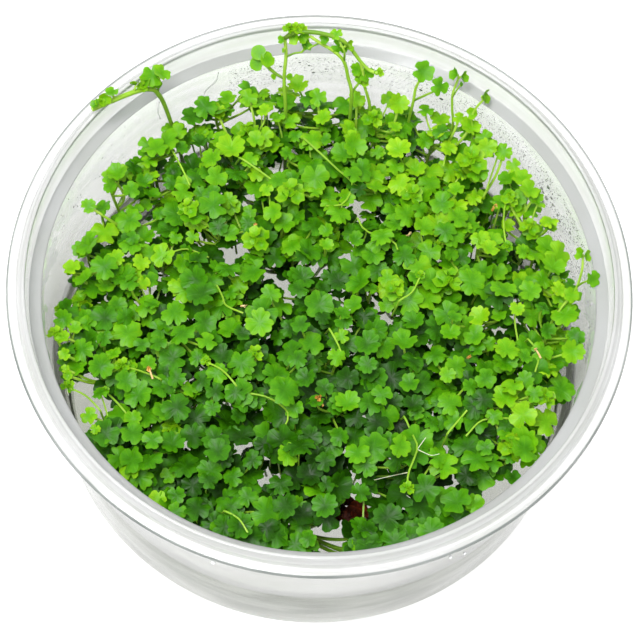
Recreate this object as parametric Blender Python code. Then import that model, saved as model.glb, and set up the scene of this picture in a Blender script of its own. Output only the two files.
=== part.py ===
"""Three-parted pennywort growing in a clear culture cup.

A thin plastic cup is turned from its wall's outline, a slab of gel fills its foot, plantlets with lobed
leaves stand in the gel, and a few runners and shoots climb out of the mat. Metres, +Z up, with the origin in
the middle of the cup's underside and the back of the cup towards +Y.
"""

import math
import random
from collections import namedtuple

import bmesh
import bpy
from mathutils import Matrix, Vector

MM = 0.001
SEED = 7
GAP = 0.3 * MM  # left between two pieces that touch

# The cup, as radii and heights of its wall's outline
CUP_SIDES = 48
RIM_RADIUS = 59.0 * MM  # over the rounded lip
CREST_RADIUS = 55.3 * MM  # inner edge of the rim's crest
CREST_HEIGHT = 51.4 * MM
BAND_RADIUS = 55.0 * MM  # foot of the upright band below the crest
BAND_FOOT = 46.0 * MM
STEP_RADIUS = 52.6 * MM  # inner edge of the step, where the wall begins
STEP_HEIGHT = 45.6 * MM
BASE_RADIUS = 51.2 * MM  # outer, where the wall meets the rounded corner
CORNER_RADIUS = 3.0 * MM
WALL = 0.8 * MM
FLOOR = 1.0 * MM
LIP_DROP = 1.2 * MM  # the lip's top lies this far below the crest
LIP_DEPTH = 1.0 * MM
CREST_WIDTH = 0.9 * MM

# The gel
GEL_TOP = 17.6 * MM
GEL_CREEP = 0.8 * MM  # rise of its edge up the wall
GEL_CREEP_WIDTH = 1.5 * MM

# The mat of leaves
PLANTLET_RINGS = ((1, 0.0, 0.0), (5, 19.0 * MM, 40.0), (9, 37.0 * MM, 25.6))  # count, radius, first turn
CROWN_RADIUS = 2.1 * MM
CROWN_NECK = 1.3 * MM
CROWN_HEIGHT = 4.0 * MM
MAT_RADIUS = 51.3 * MM  # reach of the leaf tips
MAT_HEIGHT = 39.0 * MM  # middle of the highest blades
FRONT_SHORT = 5.5 * MM  # the mat stops short of the wall at the front
FRONT_FALL = 8.0 * MM  # and is lower there
SIDE_FALL = 2.5 * MM
BARE_TURN = math.radians(138)  # at the back left the wall shows past the mat
BARE_SHORT = 4.0 * MM
LEAF_SPOTS = 620  # places tried for a leaf
LEAF_SPREAD = 1.95 * MM  # a spot's distance from the middle grows with the root of its number
LEAF_COUNT = 95  # at most
LEAF_OVERLAP = 0.62  # least distance between two blades seen from above, as a share of their radii
TIER_DROP = 2.9 * MM  # from one layer of blades to the next
TIERS = 4
LEAF_RADII = (5.2 * MM, 4.6 * MM, 4.0 * MM, 3.4 * MM)  # tried from large to small
LEAF_LEAN = math.radians(13)
BLADE_OUTLINE = (0.6, 1.0, 1.0)  # notch and blunt tip of one lobe
BLADE_LOBES = 3
BLADE_THICKNESS = 0.7 * MM
BLADE_CUP = 0.16  # depth of the hollow at the stalk, as a share of the radius
STALK_RADIUS = 0.55 * MM
STALK_SIDES = 3
STALK_ROOM = 1.5 * MM  # kept between the middles of two plantlets' stalks
BLADE_ROOM = 2.0 * MM  # kept above and below a blade
GOLDEN_TURN = math.pi * (3 - math.sqrt(5))

# The shoots in mm: a hand-chosen route from the gel to the tip, and the small blades' middles and radii
SHOOT_FOOT = (GEL_TOP + GAP) / MM
SHOOT_RADIUS = 0.5 * MM
SHOOT_SIDES = 4
SHOOT_STALK_DROP = 1.0 * MM  # a small leaf's stalk drops this far before it bends to the stem
SHOOTS = {
    "runner_over_rim": (
        ((-29, 37, SHOOT_FOOT), (-31, 38, 32), (-33.2, 38.8, 44), (-34.4, 38.2, 49.5),
         (-38, 36.3, 52.4), (-42.3, 33.2, 53.8), (-46.3, 30.8, 53.9)),
        (((-33.6, 39, 55.8), 2.6), ((-38.8, 38.4, 55.2), 1.6), ((-43.2, 35.0, 56.0), 1.5),
         ((-46.8, 32.4, 55.6), 1.3)),
    ),
    "arch_stem": (
        ((-8.8, 38, SHOOT_FOOT), (-9.4, 40.5, 33), (-9.8, 42.8, 46), (-9.8, 45.8, 55), (-10.4, 47.4, 60)),
        (((-13.6, 46.0, 51.6), 2.9), ((-12.2, 46.9, 58.4), 1.6), ((-10.2, 49.4, 61.4), 1.5)),
    ),
    "arch_top": (
        ((3.5, 39.5, SHOOT_FOOT), (3.4, 42.5, 40), (2.6, 44, 50), (0.5, 45.4, 56), (-2.8, 46.7, 58.8),
         (-6.4, 47.5, 60.2)),
        (((-5.4, 46.8, 57.6), 1.5), ((-1.0, 48.8, 60.8), 1.7)),
    ),
    "arch_tip": (
        ((7.2, 40.5, SHOOT_FOOT), (8.4, 43.4, 40), (7.6, 45.2, 51), (5.4, 46.2, 55), (2.2, 47.8, 58.2)),
        (((5.6, 44.6, 51.2), 1.9), ((3.4, 47.6, 59.8), 1.5)),
    ),
    "back_shoot_1": (
        ((14, 41.5, SHOOT_FOOT), (15.2, 44.2, 38), (16, 46.2, 44), (17, 47.6, 49.4)),
        (((17.4, 47.6, 50.6), 2.4), ((20.6, 45.4, 47.4), 2.0)),
    ),
    "back_shoot_2": (
        ((23, 38, SHOOT_FOOT), (23.8, 41.6, 38), (24, 44.4, 46), (24, 46.8, 51.4)),
        (((24.2, 46.6, 52.4), 1.6),),
    ),
    "back_shoot_3": (
        ((26.5, 34, SHOOT_FOOT), (28, 40.2, 40), (28.8, 42.2, 45), (30, 43.6, 48.4)),
        (((30.4, 43.4, 49.6), 1.7),),
    ),
    "right_shoot": (
        ((46.4, 4, SHOOT_FOOT), (48.4, 5.4, 37), (49.6, 7.8, 43), (49.6, 11, 48.2)),
        (((49.2, 11.4, 49.6), 1.4), ((51.4, 6.2, 48.4), 1.8)),
    ),
}

# The withered leaves on the gel
WITHERED_PLACE = (9.5 * MM, -33.9 * MM)
WITHERED_SIZE = (4.6 * MM, 3.0 * MM, 1.5 * MM)  # half sizes
WITHERED_ROUGHNESS = 0.22

Leaf = namedtuple("Leaf", "centre radius plantlet route")


def colour(code):
    """Linear values of an sRGB hex colour."""
    parts = [int(code[i : i + 2], 16) / 255 for i in (0, 2, 4)]
    return [p / 12.92 if p <= 0.04045 else ((p + 0.055) / 1.055) ** 2.4 for p in parts]


def material(name, code, roughness, clearness=0.0, ior=1.5):
    """A Principled material with the colour, roughness and clearness of one piece."""
    made = bpy.data.materials.new(name)
    made.use_nodes = True
    shader = made.node_tree.nodes["Principled BSDF"]
    shader.inputs["Base Color"].default_value = (*colour(code), 1)
    shader.inputs["Roughness"].default_value = roughness
    shader.inputs["Metallic"].default_value = 0.0
    shader.inputs["Transmission Weight"].default_value = clearness
    shader.inputs["IOR"].default_value = ior
    made.diffuse_color = (*colour(code), 1)
    return made


def piece(name, mesh, finish, smooth=None):
    """Turns a bmesh into a named object with its material, faces pointing out."""
    bmesh.ops.recalc_face_normals(mesh, faces=mesh.faces)
    data = bpy.data.meshes.new(name)
    mesh.to_mesh(data)
    mesh.free()
    if smooth:
        data.shade_smooth()
        data.set_sharp_from_angle(angle=math.radians(smooth))
    made = bpy.data.objects.new(name, data)
    made.data.materials.append(finish)
    bpy.context.scene.collection.objects.link(made)
    return made


def turned(name, outline, finish):
    """Spins an outline of (radius, height) points, whose ends are on the axis, into a closed solid."""
    mesh = bmesh.new()
    points = [mesh.verts.new((radius, 0, height)) for radius, height in outline]
    edges = [mesh.edges.new(pair) for pair in zip(points, points[1:])]
    bmesh.ops.spin(
        mesh,
        geom=points + edges,
        cent=(0, 0, 0),
        axis=(0, 0, 1),
        angle=math.tau,
        steps=CUP_SIDES,
        use_merge=True,
    )
    bmesh.ops.remove_doubles(mesh, verts=mesh.verts, dist=0.001 * MM)
    return piece(name, mesh, finish, smooth=35)


def corner(radius, height, size, steps=2):
    """A quarter round from pointing down to pointing out, whose outermost point is at a radius and height."""
    turns = [math.radians(90) * i / steps for i in range(steps + 1)]
    middle = radius - size
    return [(middle + size * math.sin(t), height - size * math.cos(t)) for t in turns]


def cup():
    """The moulded cup: floor, tapering wall, step, upright band, and a flange sloping to a rounded lip."""
    lip_top = CREST_HEIGHT - LIP_DROP
    outside = [
        (0, 0),
        *corner(BASE_RADIUS, CORNER_RADIUS, CORNER_RADIUS),
        (STEP_RADIUS + WALL, STEP_HEIGHT - WALL / 2),
        (BAND_RADIUS + WALL, BAND_FOOT - WALL / 2),
        (CREST_RADIUS + WALL, CREST_HEIGHT - 2 * WALL),
        (RIM_RADIUS - WALL, lip_top - LIP_DEPTH - WALL / 2),
        (RIM_RADIUS, lip_top - LIP_DEPTH),
        (RIM_RADIUS, lip_top - WALL / 2),
        (RIM_RADIUS - WALL / 2, lip_top),
        (RIM_RADIUS - 2 * WALL, lip_top - WALL / 4),
    ]
    inside = [
        (CREST_RADIUS + CREST_WIDTH, CREST_HEIGHT),
        (CREST_RADIUS, CREST_HEIGHT),
        (BAND_RADIUS, BAND_FOOT),
        (STEP_RADIUS, STEP_HEIGHT),
        *reversed(corner(BASE_RADIUS - WALL, CORNER_RADIUS, CORNER_RADIUS - FLOOR)),
        (0, FLOOR),
    ]
    return turned("cup", outside + inside, material("clear polystyrene", "E9ECEA", 0.08, 0.9, 1.59))


def wall_radius(height):
    """Inner radius of the tapering wall at a height."""
    share = (height - CORNER_RADIUS) / (STEP_HEIGHT - CORNER_RADIUS)
    foot = BASE_RADIUS - WALL
    return foot + (STEP_RADIUS - foot) * min(max(share, 0), 1)


def gel():
    """The slab of set gel, which creeps up the wall at its edge."""
    edge = GEL_TOP + GEL_CREEP
    outline = [
        (0, FLOOR + GAP),
        *corner(BASE_RADIUS - WALL - GAP, CORNER_RADIUS, CORNER_RADIUS - FLOOR - GAP),
        (wall_radius(edge) - GAP, edge),
        (wall_radius(edge) - GEL_CREEP_WIDTH, GEL_TOP),
        (0, GEL_TOP),
    ]
    return turned("gel", outline, material("set plant gel", "D9DBD4", 0.15, 0.6, 1.34))


def stalk(mesh, route, radius, sides):
    """Adds a closed tube along a route of points, thinning to its end. Returns the ring where it starts."""
    route = [Vector(point) for point in route]
    heading = (route[1] - route[0]).normalized()
    turn = heading.to_track_quat("-Z", "Y").to_matrix().to_4x4()
    first = bmesh.ops.create_circle(mesh, cap_ends=True, segments=sides, radius=radius)["verts"]
    bmesh.ops.transform(mesh, matrix=Matrix.Translation(route[0]) @ turn, verts=first)
    cap = first[0].link_faces[0]
    start_edges = list(cap.edges)
    start_face = cap
    for here, there, after in zip(route, route[1:], [*route[2:], None]):
        made = bmesh.ops.extrude_face_region(mesh, geom=[cap])["geom"]
        if cap is not start_face:
            bmesh.ops.delete(mesh, geom=[cap], context="FACES_ONLY")
        ring = [item for item in made if isinstance(item, bmesh.types.BMVert)]
        cap = next(item for item in made if isinstance(item, bmesh.types.BMFace))
        next_heading = ((after or there) - here).normalized()
        bend = heading.rotation_difference(next_heading).to_matrix().to_4x4()
        bmesh.ops.transform(
            mesh,
            matrix=Matrix.Translation(there) @ bend @ Matrix.Translation(-here),
            verts=ring,
        )
        heading = next_heading
    return start_face, start_edges


def blade(mesh, centre, radius, lean, turn, route):
    """Adds a cupped, lobed leaf blade with a stalk from the middle of its underside."""
    count = len(BLADE_OUTLINE) * BLADE_LOBES
    place = Matrix.Translation(centre) @ lean @ Matrix.Rotation(turn, 4, "Z")
    ring = bmesh.ops.create_circle(mesh, cap_ends=True, segments=count, radius=radius)["verts"]
    for i, vert in enumerate(ring):
        vert.co *= BLADE_OUTLINE[i % len(BLADE_OUTLINE)]
    under = ring[0].link_faces[0]
    made = bmesh.ops.extrude_face_region(mesh, geom=[under])["geom"]
    top_ring = [item for item in made if isinstance(item, bmesh.types.BMVert)]
    top = next(item for item in made if isinstance(item, bmesh.types.BMFace))
    bmesh.ops.translate(mesh, vec=(0, 0, BLADE_THICKNESS), verts=top_ring)
    middle = bmesh.ops.poke(mesh, faces=[top])["verts"]
    bmesh.ops.translate(mesh, vec=(0, 0, -BLADE_CUP * radius), verts=middle)
    bmesh.ops.transform(mesh, matrix=place, verts=ring + top_ring + middle)
    cap, edges = stalk(mesh, route, STALK_RADIUS, STALK_SIDES)
    rim = list(under.edges)
    bmesh.ops.delete(mesh, geom=[cap, under], context="FACES_ONLY")
    bmesh.ops.bridge_loops(mesh, edges=rim + edges)


def leaning(angle, direction):
    """A tilt of a blade towards a direction, seen from above."""
    axis = Vector((-math.sin(direction), math.cos(direction), 0))
    return Matrix.Rotation(angle, 4, axis)


def stalk_route(foot, centre, radius):
    """From just under the blade down to the crown: out along the blade's side first, then upright."""
    top = Vector(centre) - Vector((0, 0, BLADE_CUP * radius))
    away = Vector((centre[0] - foot[0], centre[1] - foot[1], 0))
    inside = Vector(foot) + away * 0.04 + Vector((0, 0, CROWN_HEIGHT * 0.45))
    knee = inside.lerp(top, 0.5) - away * 0.12
    return [top, knee, inside]


def mat_reach(turn):
    """How far the leaf tips reach from the cup's middle in one direction."""
    front = max(0.0, -math.sin(turn)) ** 2
    bare = max(0.0, math.cos(turn - BARE_TURN)) ** 6
    return MAT_RADIUS - FRONT_SHORT * front - BARE_SHORT * bare


def mat_height(x, y):
    """Height of the highest blades over a spot: level in the middle, falling to the front and the edge."""
    front = min(max((-y - 12 * MM) / (34 * MM), 0), 1)
    edge = (math.hypot(x, y) / MAT_RADIUS) ** 3
    return MAT_HEIGHT - FRONT_FALL * front**1.5 - SIDE_FALL * edge


def plantlet_feet():
    """Where the plantlets' crowns stand on the gel."""
    feet = []
    for count, radius, first in PLANTLET_RINGS:
        for i in range(count):
            turn = math.radians(first) + math.tau * i / count
            feet.append((radius * math.cos(turn), radius * math.sin(turn), GEL_TOP + GAP))
    return feet


def along(route, steps=10):
    """Points spread along a route."""
    route = [Vector(point) for point in route]
    return [a.lerp(b, i / steps) for a, b in zip(route, route[1:]) for i in range(steps + 1)]


def beside(a, b):
    """Distance between two points seen from above."""
    return math.hypot(a[0] - b[0], a[1] - b[1])


def under_blade(points, centre, radius):
    """Whether any of the points comes too near a blade."""
    return any(
        abs(p[2] - centre[2]) < BLADE_ROOM and beside(p, centre) < radius + 2 * STALK_RADIUS for p in points
    )


def fits(leaf, leaves, shoots):
    """Whether a leaf keeps clear of the leaves placed so far and of the shoots."""
    for other in leaves:
        near = beside(leaf.centre, other.centre) < leaf.radius + other.radius + GAP
        if near and abs(leaf.centre[2] - other.centre[2]) < TIER_DROP - GAP:
            return False
        if under_blade(other.route, leaf.centre, leaf.radius):
            return False
        if under_blade(leaf.route, other.centre, other.radius):
            return False
        if leaf.plantlet != other.plantlet:
            if any((a - b).length < STALK_ROOM for a in leaf.route for b in other.route):
                return False
    for points, blades in shoots:
        if under_blade(points, leaf.centre, leaf.radius + SHOOT_RADIUS):
            return False
        if any((a - b).length < STALK_ROOM + SHOOT_RADIUS for a in leaf.route for b in points):
            return False
        for centre, radius in blades:
            near = beside(centre, leaf.centre) < radius + leaf.radius
            if near and abs(centre[2] - leaf.centre[2]) < TIER_DROP:
                return False
    return True


def scattered_leaves(feet, shoots):
    """Spreads leaves over the mat on a sunflower spiral, the largest first, each in the highest free tier."""
    leaves = []
    spots = [(LEAF_SPREAD * math.sqrt(n + 0.4), n * GOLDEN_TURN) for n in range(LEAF_SPOTS)]
    for radius in LEAF_RADII:
        for out, turn in spots:
            if len(leaves) == LEAF_COUNT or out + radius > mat_reach(turn):
                continue
            x, y = out * math.cos(turn), out * math.sin(turn)
            if any(beside((x, y), leaf.centre) < LEAF_OVERLAP * (radius + leaf.radius) for leaf in leaves):
                continue
            owner = min(range(len(feet)), key=lambda i: beside(feet[i], (x, y)))
            for tier in range(TIERS):
                centre = (x, y, mat_height(x, y) - TIER_DROP * tier)
                leaf = Leaf(centre, radius, owner, along(stalk_route(feet[owner], centre, radius)))
                if fits(leaf, leaves, shoots):
                    leaves.append(leaf)
                    break
    return leaves


def fused(name, body, grown, finish):
    """Joins what has grown on a body to it, so that both are one solid."""
    made = piece(name, body, finish)
    cutter = piece(name + "_grown", grown, finish)
    cutter.hide_render = True
    cutter.display_type = "WIRE"
    join = made.modifiers.new("grown together", "BOOLEAN")
    join.operation = "UNION"
    join.solver = "EXACT"
    join.use_self = True
    join.object = cutter
    return made


def leaf_green(x, y):
    """Deep green in the middle of the mat and yellow-green towards its edge, as a hex colour."""
    share = min(math.hypot(x, y) / MAT_RADIUS, 1)
    deep, young = (0x2F, 0x7D, 0x14), (0x6F, 0xB8, 0x20)
    return "".join(f"{round(a + (b - a) * share):02X}" for a, b in zip(deep, young))


def plantlet(number, foot, leaves, chance):
    """One plantlet: a short crown on the gel, with stalks and lobed blades grown from it."""
    crown = bmesh.new()
    bmesh.ops.create_cone(
        crown, cap_ends=True, segments=7, radius1=CROWN_RADIUS, radius2=CROWN_NECK, depth=CROWN_HEIGHT
    )
    bmesh.ops.translate(crown, vec=Vector(foot) + Vector((0, 0, CROWN_HEIGHT / 2)), verts=crown.verts)
    grown = bmesh.new()
    for leaf in leaves:
        outward = math.atan2(leaf.centre[1] - foot[1], leaf.centre[0] - foot[0])
        lean = leaning(LEAF_LEAN * chance.uniform(0.3, 1), outward + chance.uniform(-0.8, 0.8))
        route = stalk_route(foot, leaf.centre, leaf.radius)
        blade(grown, leaf.centre, leaf.radius, lean, chance.uniform(0, math.tau), route)
    name = f"plantlet_{number:02d}"
    finish = material(f"pennywort leaf {number:02d}", leaf_green(foot[0], foot[1]), 0.4)
    return fused(name, crown, grown, finish)


def shoot(name, route, blades, chance):
    """A runner or shoot: a bent stem from the gel to its tip, with small blades on short stalks."""
    stem = bmesh.new()
    stalk(stem, route, SHOOT_RADIUS, SHOOT_SIDES)
    grown = bmesh.new()
    for centre, radius in blades:
        top = Vector(centre) - Vector((0, 0, BLADE_CUP * radius))
        knee = top - Vector((0, 0, SHOOT_STALK_DROP))
        nearest = min((p for p in along(route)[3:-3] if p.z < knee.z), key=lambda p: (p - knee).length)
        lean = leaning(LEAF_LEAN, chance.uniform(0, math.tau))
        blade(grown, centre, radius, lean, chance.uniform(0, math.tau), [top, knee, nearest])
    return fused(name, stem, grown, material(f"pennywort {name.replace('_', ' ')}", "9CC83C", 0.4))


def withered(chance):
    """The clump of dead leaves lying on the gel."""
    mesh = bmesh.new()
    bmesh.ops.create_icosphere(mesh, subdivisions=2, radius=1)
    for vert in mesh.verts:
        vert.co *= 1 + chance.uniform(-WITHERED_ROUGHNESS, WITHERED_ROUGHNESS)
        vert.co.z = max(vert.co.z, -0.6)
    bmesh.ops.scale(mesh, vec=WITHERED_SIZE, verts=mesh.verts)
    low = min(vert.co.z for vert in mesh.verts)
    bmesh.ops.translate(mesh, vec=(*WITHERED_PLACE, GEL_TOP + GAP - low), verts=mesh.verts)
    return piece("withered_leaves", mesh, material("withered leaf", "6A3A1E", 0.7))


def in_metres(points):
    """Route points from millimetres."""
    return [Vector(point) * MM for point in points]


def build():
    """Makes every piece of the cup and what grows in it."""
    for old in list(bpy.data.objects):
        bpy.data.objects.remove(old, do_unlink=True)
    chance = random.Random(SEED)
    cup()
    gel()
    withered(chance)
    shoots = []
    for name, (route, blades) in SHOOTS.items():
        route = in_metres(route)
        blades = [(Vector(centre) * MM, radius * MM) for centre, radius in blades]
        shoot(name, route, blades, chance)
        shoots.append((along(route), blades))
    feet = plantlet_feet()
    leaves = scattered_leaves(feet, shoots)
    for number, foot in enumerate(feet):
        plantlet(number + 1, foot, [leaf for leaf in leaves if leaf.plantlet == number], chance)


build()
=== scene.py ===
# %% [markdown]
# # Dwarf pennywort in a culture cup
# The plant is sold as it was raised: in a clear plastic cup, on a slab of set gel, packed so densely that
# hundreds of small three-parted leaves form one mat. The solids of the cup, the gel, fifteen plantlets and the
# shoots are loaded first and stay the measure of everything. Each is then dressed with the shape and the
# finish of the real thing.

import math
import random

import bmesh
import bpy
from mathutils import Matrix, Vector, noise


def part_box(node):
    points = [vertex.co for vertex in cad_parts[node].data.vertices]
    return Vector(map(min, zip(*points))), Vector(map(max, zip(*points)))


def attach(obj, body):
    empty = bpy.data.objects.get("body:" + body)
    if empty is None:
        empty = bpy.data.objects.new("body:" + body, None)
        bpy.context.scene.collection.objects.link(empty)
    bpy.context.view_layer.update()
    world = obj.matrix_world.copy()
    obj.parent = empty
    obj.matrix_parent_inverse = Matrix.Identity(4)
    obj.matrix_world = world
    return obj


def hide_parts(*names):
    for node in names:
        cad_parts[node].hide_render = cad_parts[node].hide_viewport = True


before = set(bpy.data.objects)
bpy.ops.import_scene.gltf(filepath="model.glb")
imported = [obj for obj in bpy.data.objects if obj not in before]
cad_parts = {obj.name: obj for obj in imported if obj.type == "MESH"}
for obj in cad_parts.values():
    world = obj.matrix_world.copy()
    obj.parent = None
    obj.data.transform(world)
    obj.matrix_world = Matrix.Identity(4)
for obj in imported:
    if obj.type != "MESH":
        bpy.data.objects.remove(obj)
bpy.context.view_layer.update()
MM = 0.001
SEED = 11

# %% [markdown]
# ## Helpers
# Colours are written as the sRGB values that the eye reads, and shaders want them linear, so one function
# turns them. Others add a shader node with its settings and links, blend two colours by a pattern, draw a
# scale of colours, and hand a finished mesh to the body that carries it.

# %% Helpers


def linear(code):
    """An sRGB hex colour as linear red, green, blue and alpha."""
    parts = [int(code[i : i + 2], 16) / 255 for i in (0, 2, 4)]
    return (*[p / 12.92 if p <= 0.04045 else ((p + 0.055) / 1.055) ** 2.4 for p in parts], 1)


def add(tree, kind, inputs=None, **settings):
    """Adds a shader node, sets its properties, and fills its sockets with values or links."""
    made = tree.nodes.new(kind)
    for name, value in settings.items():
        setattr(made, name, value)
    for socket, value in (inputs or {}).items():
        if isinstance(value, bpy.types.NodeSocket):
            tree.links.new(value, made.inputs[socket])
        else:
            made.inputs[socket].default_value = value
    return made


def surface(name, **sockets):
    """A new material. Returns it with its node tree and its Principled shader."""
    made = bpy.data.materials.new(name)
    made.use_nodes = True
    shader = made.node_tree.nodes["Principled BSDF"]
    for socket, value in sockets.items():
        shader.inputs[socket.replace("_", " ")].default_value = value
    return made, made.node_tree, shader


def blend(tree, share, first, second):
    """A colour between two hex colours, by a share from 0 to 1."""
    sockets = {"Factor": share, "A": linear(first), "B": linear(second)}
    return add(tree, "ShaderNodeMix", sockets, data_type="RGBA").outputs["Result"]


def scale_of(tree, share, stops):
    """A colour from a scale of (hex colour, place) stops."""
    ramp = add(tree, "ShaderNodeValToRGB", {"Fac": share})
    elements = ramp.color_ramp.elements
    for code, where in stops[1:-1]:
        elements.new(where).color = linear(code)
    for element, (code, where) in ((elements[0], stops[0]), (elements[-1], stops[-1])):
        element.color = linear(code)
        element.position = where
    return ramp.outputs["Color"]


def piece(name, mesh, finishes, sharp=None, replaces=()):
    """Turns a bmesh into a finished piece that rides on the one body and stands for CAD nodes."""
    data = bpy.data.meshes.new(name)
    mesh.to_mesh(data)
    mesh.free()
    for finish in finishes:
        data.materials.append(finish)
    data.shade_smooth()
    if sharp:
        data.set_sharp_from_angle(angle=math.radians(sharp))
    made = bpy.data.objects.new(name, data)
    bpy.context.scene.collection.objects.link(made)
    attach(made, "root")
    if replaces:
        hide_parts(*replaces)
    return made


# %% [markdown]
# ## Camera
# The photograph looks steeply down into the cup, with the cup turned a few degrees in the frame. The place,
# the aim and the turn were fitted to the ellipses of the rim.

# %% Camera
CAMERA_PLACE = Vector((0, -209.1, 471.4)) * MM
CAMERA_AIM = Vector((0.5, 6.1, 20.1)) * MM
CAMERA_TURN = math.radians(4.46)
CAMERA_LENS = 140.6

camera = bpy.data.objects.new("camera", bpy.data.cameras.new("camera"))
bpy.context.scene.collection.objects.link(camera)
look = (CAMERA_AIM - CAMERA_PLACE).to_track_quat("-Z", "Y").to_matrix().to_4x4()
camera.matrix_world = Matrix.Translation(CAMERA_PLACE) @ look @ Matrix.Rotation(CAMERA_TURN, 4, "Z")
camera.data.lens = CAMERA_LENS
camera.data.clip_start = 0.01
bpy.context.scene.camera = camera
print("camera is", round((CAMERA_AIM - CAMERA_PLACE).length / MM), "mm from what it looks at")

# %% [markdown]
# ## Studio
# Such cups are photographed high-key: a white light table, a soft box above, a little to the left and in front, and
# white all round.
# Clear plastic only shows by what it bends, so the sky is a little greyer towards the horizon, which draws
# the thin grey lines along every edge of the cup. The table shines a little itself and takes no shadow.

# %% Studio
SKY_TOP = "FFFFFF"
SKY_EDGE = "98A09D"
SKY_STRENGTH = 0.760
BOX_SIZE = 0.45
BOX_PLACE = Vector((-0.18, -0.15, 0.9))
BOX_POWER = 7.5
TABLE_GLOW = 0.8
FLOOR_RADIUS = 3.0

world = bpy.data.worlds.new("studio")
world.use_nodes = True
bpy.context.scene.world = world
tree = world.node_tree
direction = add(tree, "ShaderNodeTexCoord").outputs["Generated"]
height = add(tree, "ShaderNodeSeparateXYZ", {"Vector": direction}).outputs["Z"]
rise = {"Value": height, "From Min": 0.02, "From Max": 0.45}
rise = add(tree, "ShaderNodeMapRange", rise, interpolation_type="SMOOTHSTEP").outputs["Result"]
tree.links.new(blend(tree, rise, SKY_EDGE, SKY_TOP), tree.nodes["Background"].inputs["Color"])
tree.nodes["Background"].inputs["Strength"].default_value = SKY_STRENGTH

box = bpy.data.objects.new("soft_box", bpy.data.lights.new("soft_box", "AREA"))
box.data.shape = "DISK"
box.data.size = BOX_SIZE
box.data.energy = BOX_POWER
box.location = BOX_PLACE
box.rotation_mode = "QUATERNION"
box.rotation_quaternion = (-BOX_PLACE).to_track_quat("-Z", "Y")
bpy.context.scene.collection.objects.link(box)
bpy.context.scene.view_settings.view_transform = "Standard"

table, tree, shader = surface(
    "white light table, matt", Roughness=0.7, Emission_Color=linear("FFFFFF"), Emission_Strength=TABLE_GLOW
)
grain = add(tree, "ShaderNodeTexNoise", {"Vector": add(tree, "ShaderNodeTexCoord").outputs["Object"], "Scale": 300.0})
tree.links.new(blend(tree, grain.outputs["Fac"], "B2B2B1", "B8B8B8"), shader.inputs["Base Color"])
mesh = bmesh.new()
bmesh.ops.create_circle(mesh, cap_ends=True, segments=96, radius=FLOOR_RADIUS)
bmesh.ops.recalc_face_normals(mesh, faces=mesh.faces)
data = bpy.data.meshes.new("floor")
mesh.to_mesh(data)
mesh.free()
data.materials.append(table)
floor = bpy.data.objects.new("floor", data)
floor.location.z = -0.05 * MM
bpy.context.scene.collection.objects.link(floor)
print("floor:", FLOOR_RADIUS * 2, "m across")

# %% [markdown]
# ## The cup
# Injection-moulded polystyrene, water-clear and thin. It is turned from the outline of its wall, like a pot
# on a wheel: floor, tapering wall, a step, an upright band and a flange that slopes down to a rounded lip.
# The crest and the flange carry the fine rings that a lid snaps over. A bevel on the points of the outline
# rounds every corner before it is spun, because moulded plastic has no sharp edge.

# %% Cup: outline and turning
CUP_TURNS = 160
CORNER_STEPS = 3
# radius, height and rounding of each corner in mm, down the outside and back up the inside
CUP_OUTSIDE = [
    (0, 0, 0),
    (51.2, 0, 2.2),
    (51.86, 18.2, 0),
    (52.85, 45.4, 0.1),
    (55.5, 45.8, 0.3),
    (56.1, 49.8, 0.3),
    (57.5, 49.1, 0.3),
    (59.0, 49.0, 0.4),
    (59.0, 49.9, 0.4),
    (57.7, 50.0, 0.15),
    (57.5, 49.8, 0.15),
    (57.2, 49.8, 0.15),
    (56.9, 50.3, 0.2),
    (56.2, 51.0, 0.2),
]
CUP_INSIDE = [
    (56.0, 51.4, 0.2),
    (55.4, 51.4, 0.2),
    (55.0, 46.15, 0.3),
    (52.6, 45.75, 0.1),
    (51.25, 18.2, 0),
    (50.4, 1.0, 1.8),
    (0, 1.0, 0),
]
RIM_FOOT = 45.6
CREST_FOOT = 50.6
LIP_RADIUS = 58.5
GEL_LINE = 18.2
FLOOR_TOP = 1.2
FLOOR_RADIUS = 49.5


def turned(outline, turns):
    """Spins an outline of (radius, height, rounding) in mm round the upright axis into a closed solid."""
    mesh = bmesh.new()
    points = [mesh.verts.new((radius * MM, 0, height * MM)) for radius, height, _ in outline]
    for pair in zip(points, points[1:]):
        mesh.edges.new(pair)
    for point, (_, _, rounding) in zip(points, outline):
        if rounding:
            bmesh.ops.bevel(
                mesh,
                geom=[point],
                offset=rounding * MM,
                segments=CORNER_STEPS,
                profile=0.5,
                affect="VERTICES",
                material=-1,
            )
    bmesh.ops.spin(
        mesh,
        geom=mesh.verts[:] + mesh.edges[:],
        cent=(0, 0, 0),
        axis=(0, 0, 1),
        angle=math.tau,
        steps=turns,
        use_merge=True,
    )
    bmesh.ops.remove_doubles(mesh, verts=mesh.verts, dist=0.002 * MM)
    bmesh.ops.recalc_face_normals(mesh, faces=mesh.faces)
    return mesh


cup_mesh = turned(CUP_OUTSIDE + CUP_INSIDE, CUP_TURNS)
print("cup faces:", len(cup_mesh.faces))

# %% [markdown]
# Clear polystyrene bends light more than a glass bottle does, and in a long path along the wall it turns
# slightly grey-green, so its edges are darker than its faces. Moulding leaves faint waves round the wall,
# drawn as a bump that is long round the cup and short along its height. The thin wall is clear. The rim is
# handled and scuffed, which makes it whiter. The lip is painted grey, a painted shade for the dark line along
# its edge, and below the gel line the wall is painted grey-green, a painted shade for the gel band behind it.

# %% Cup: clear polystyrene


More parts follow.
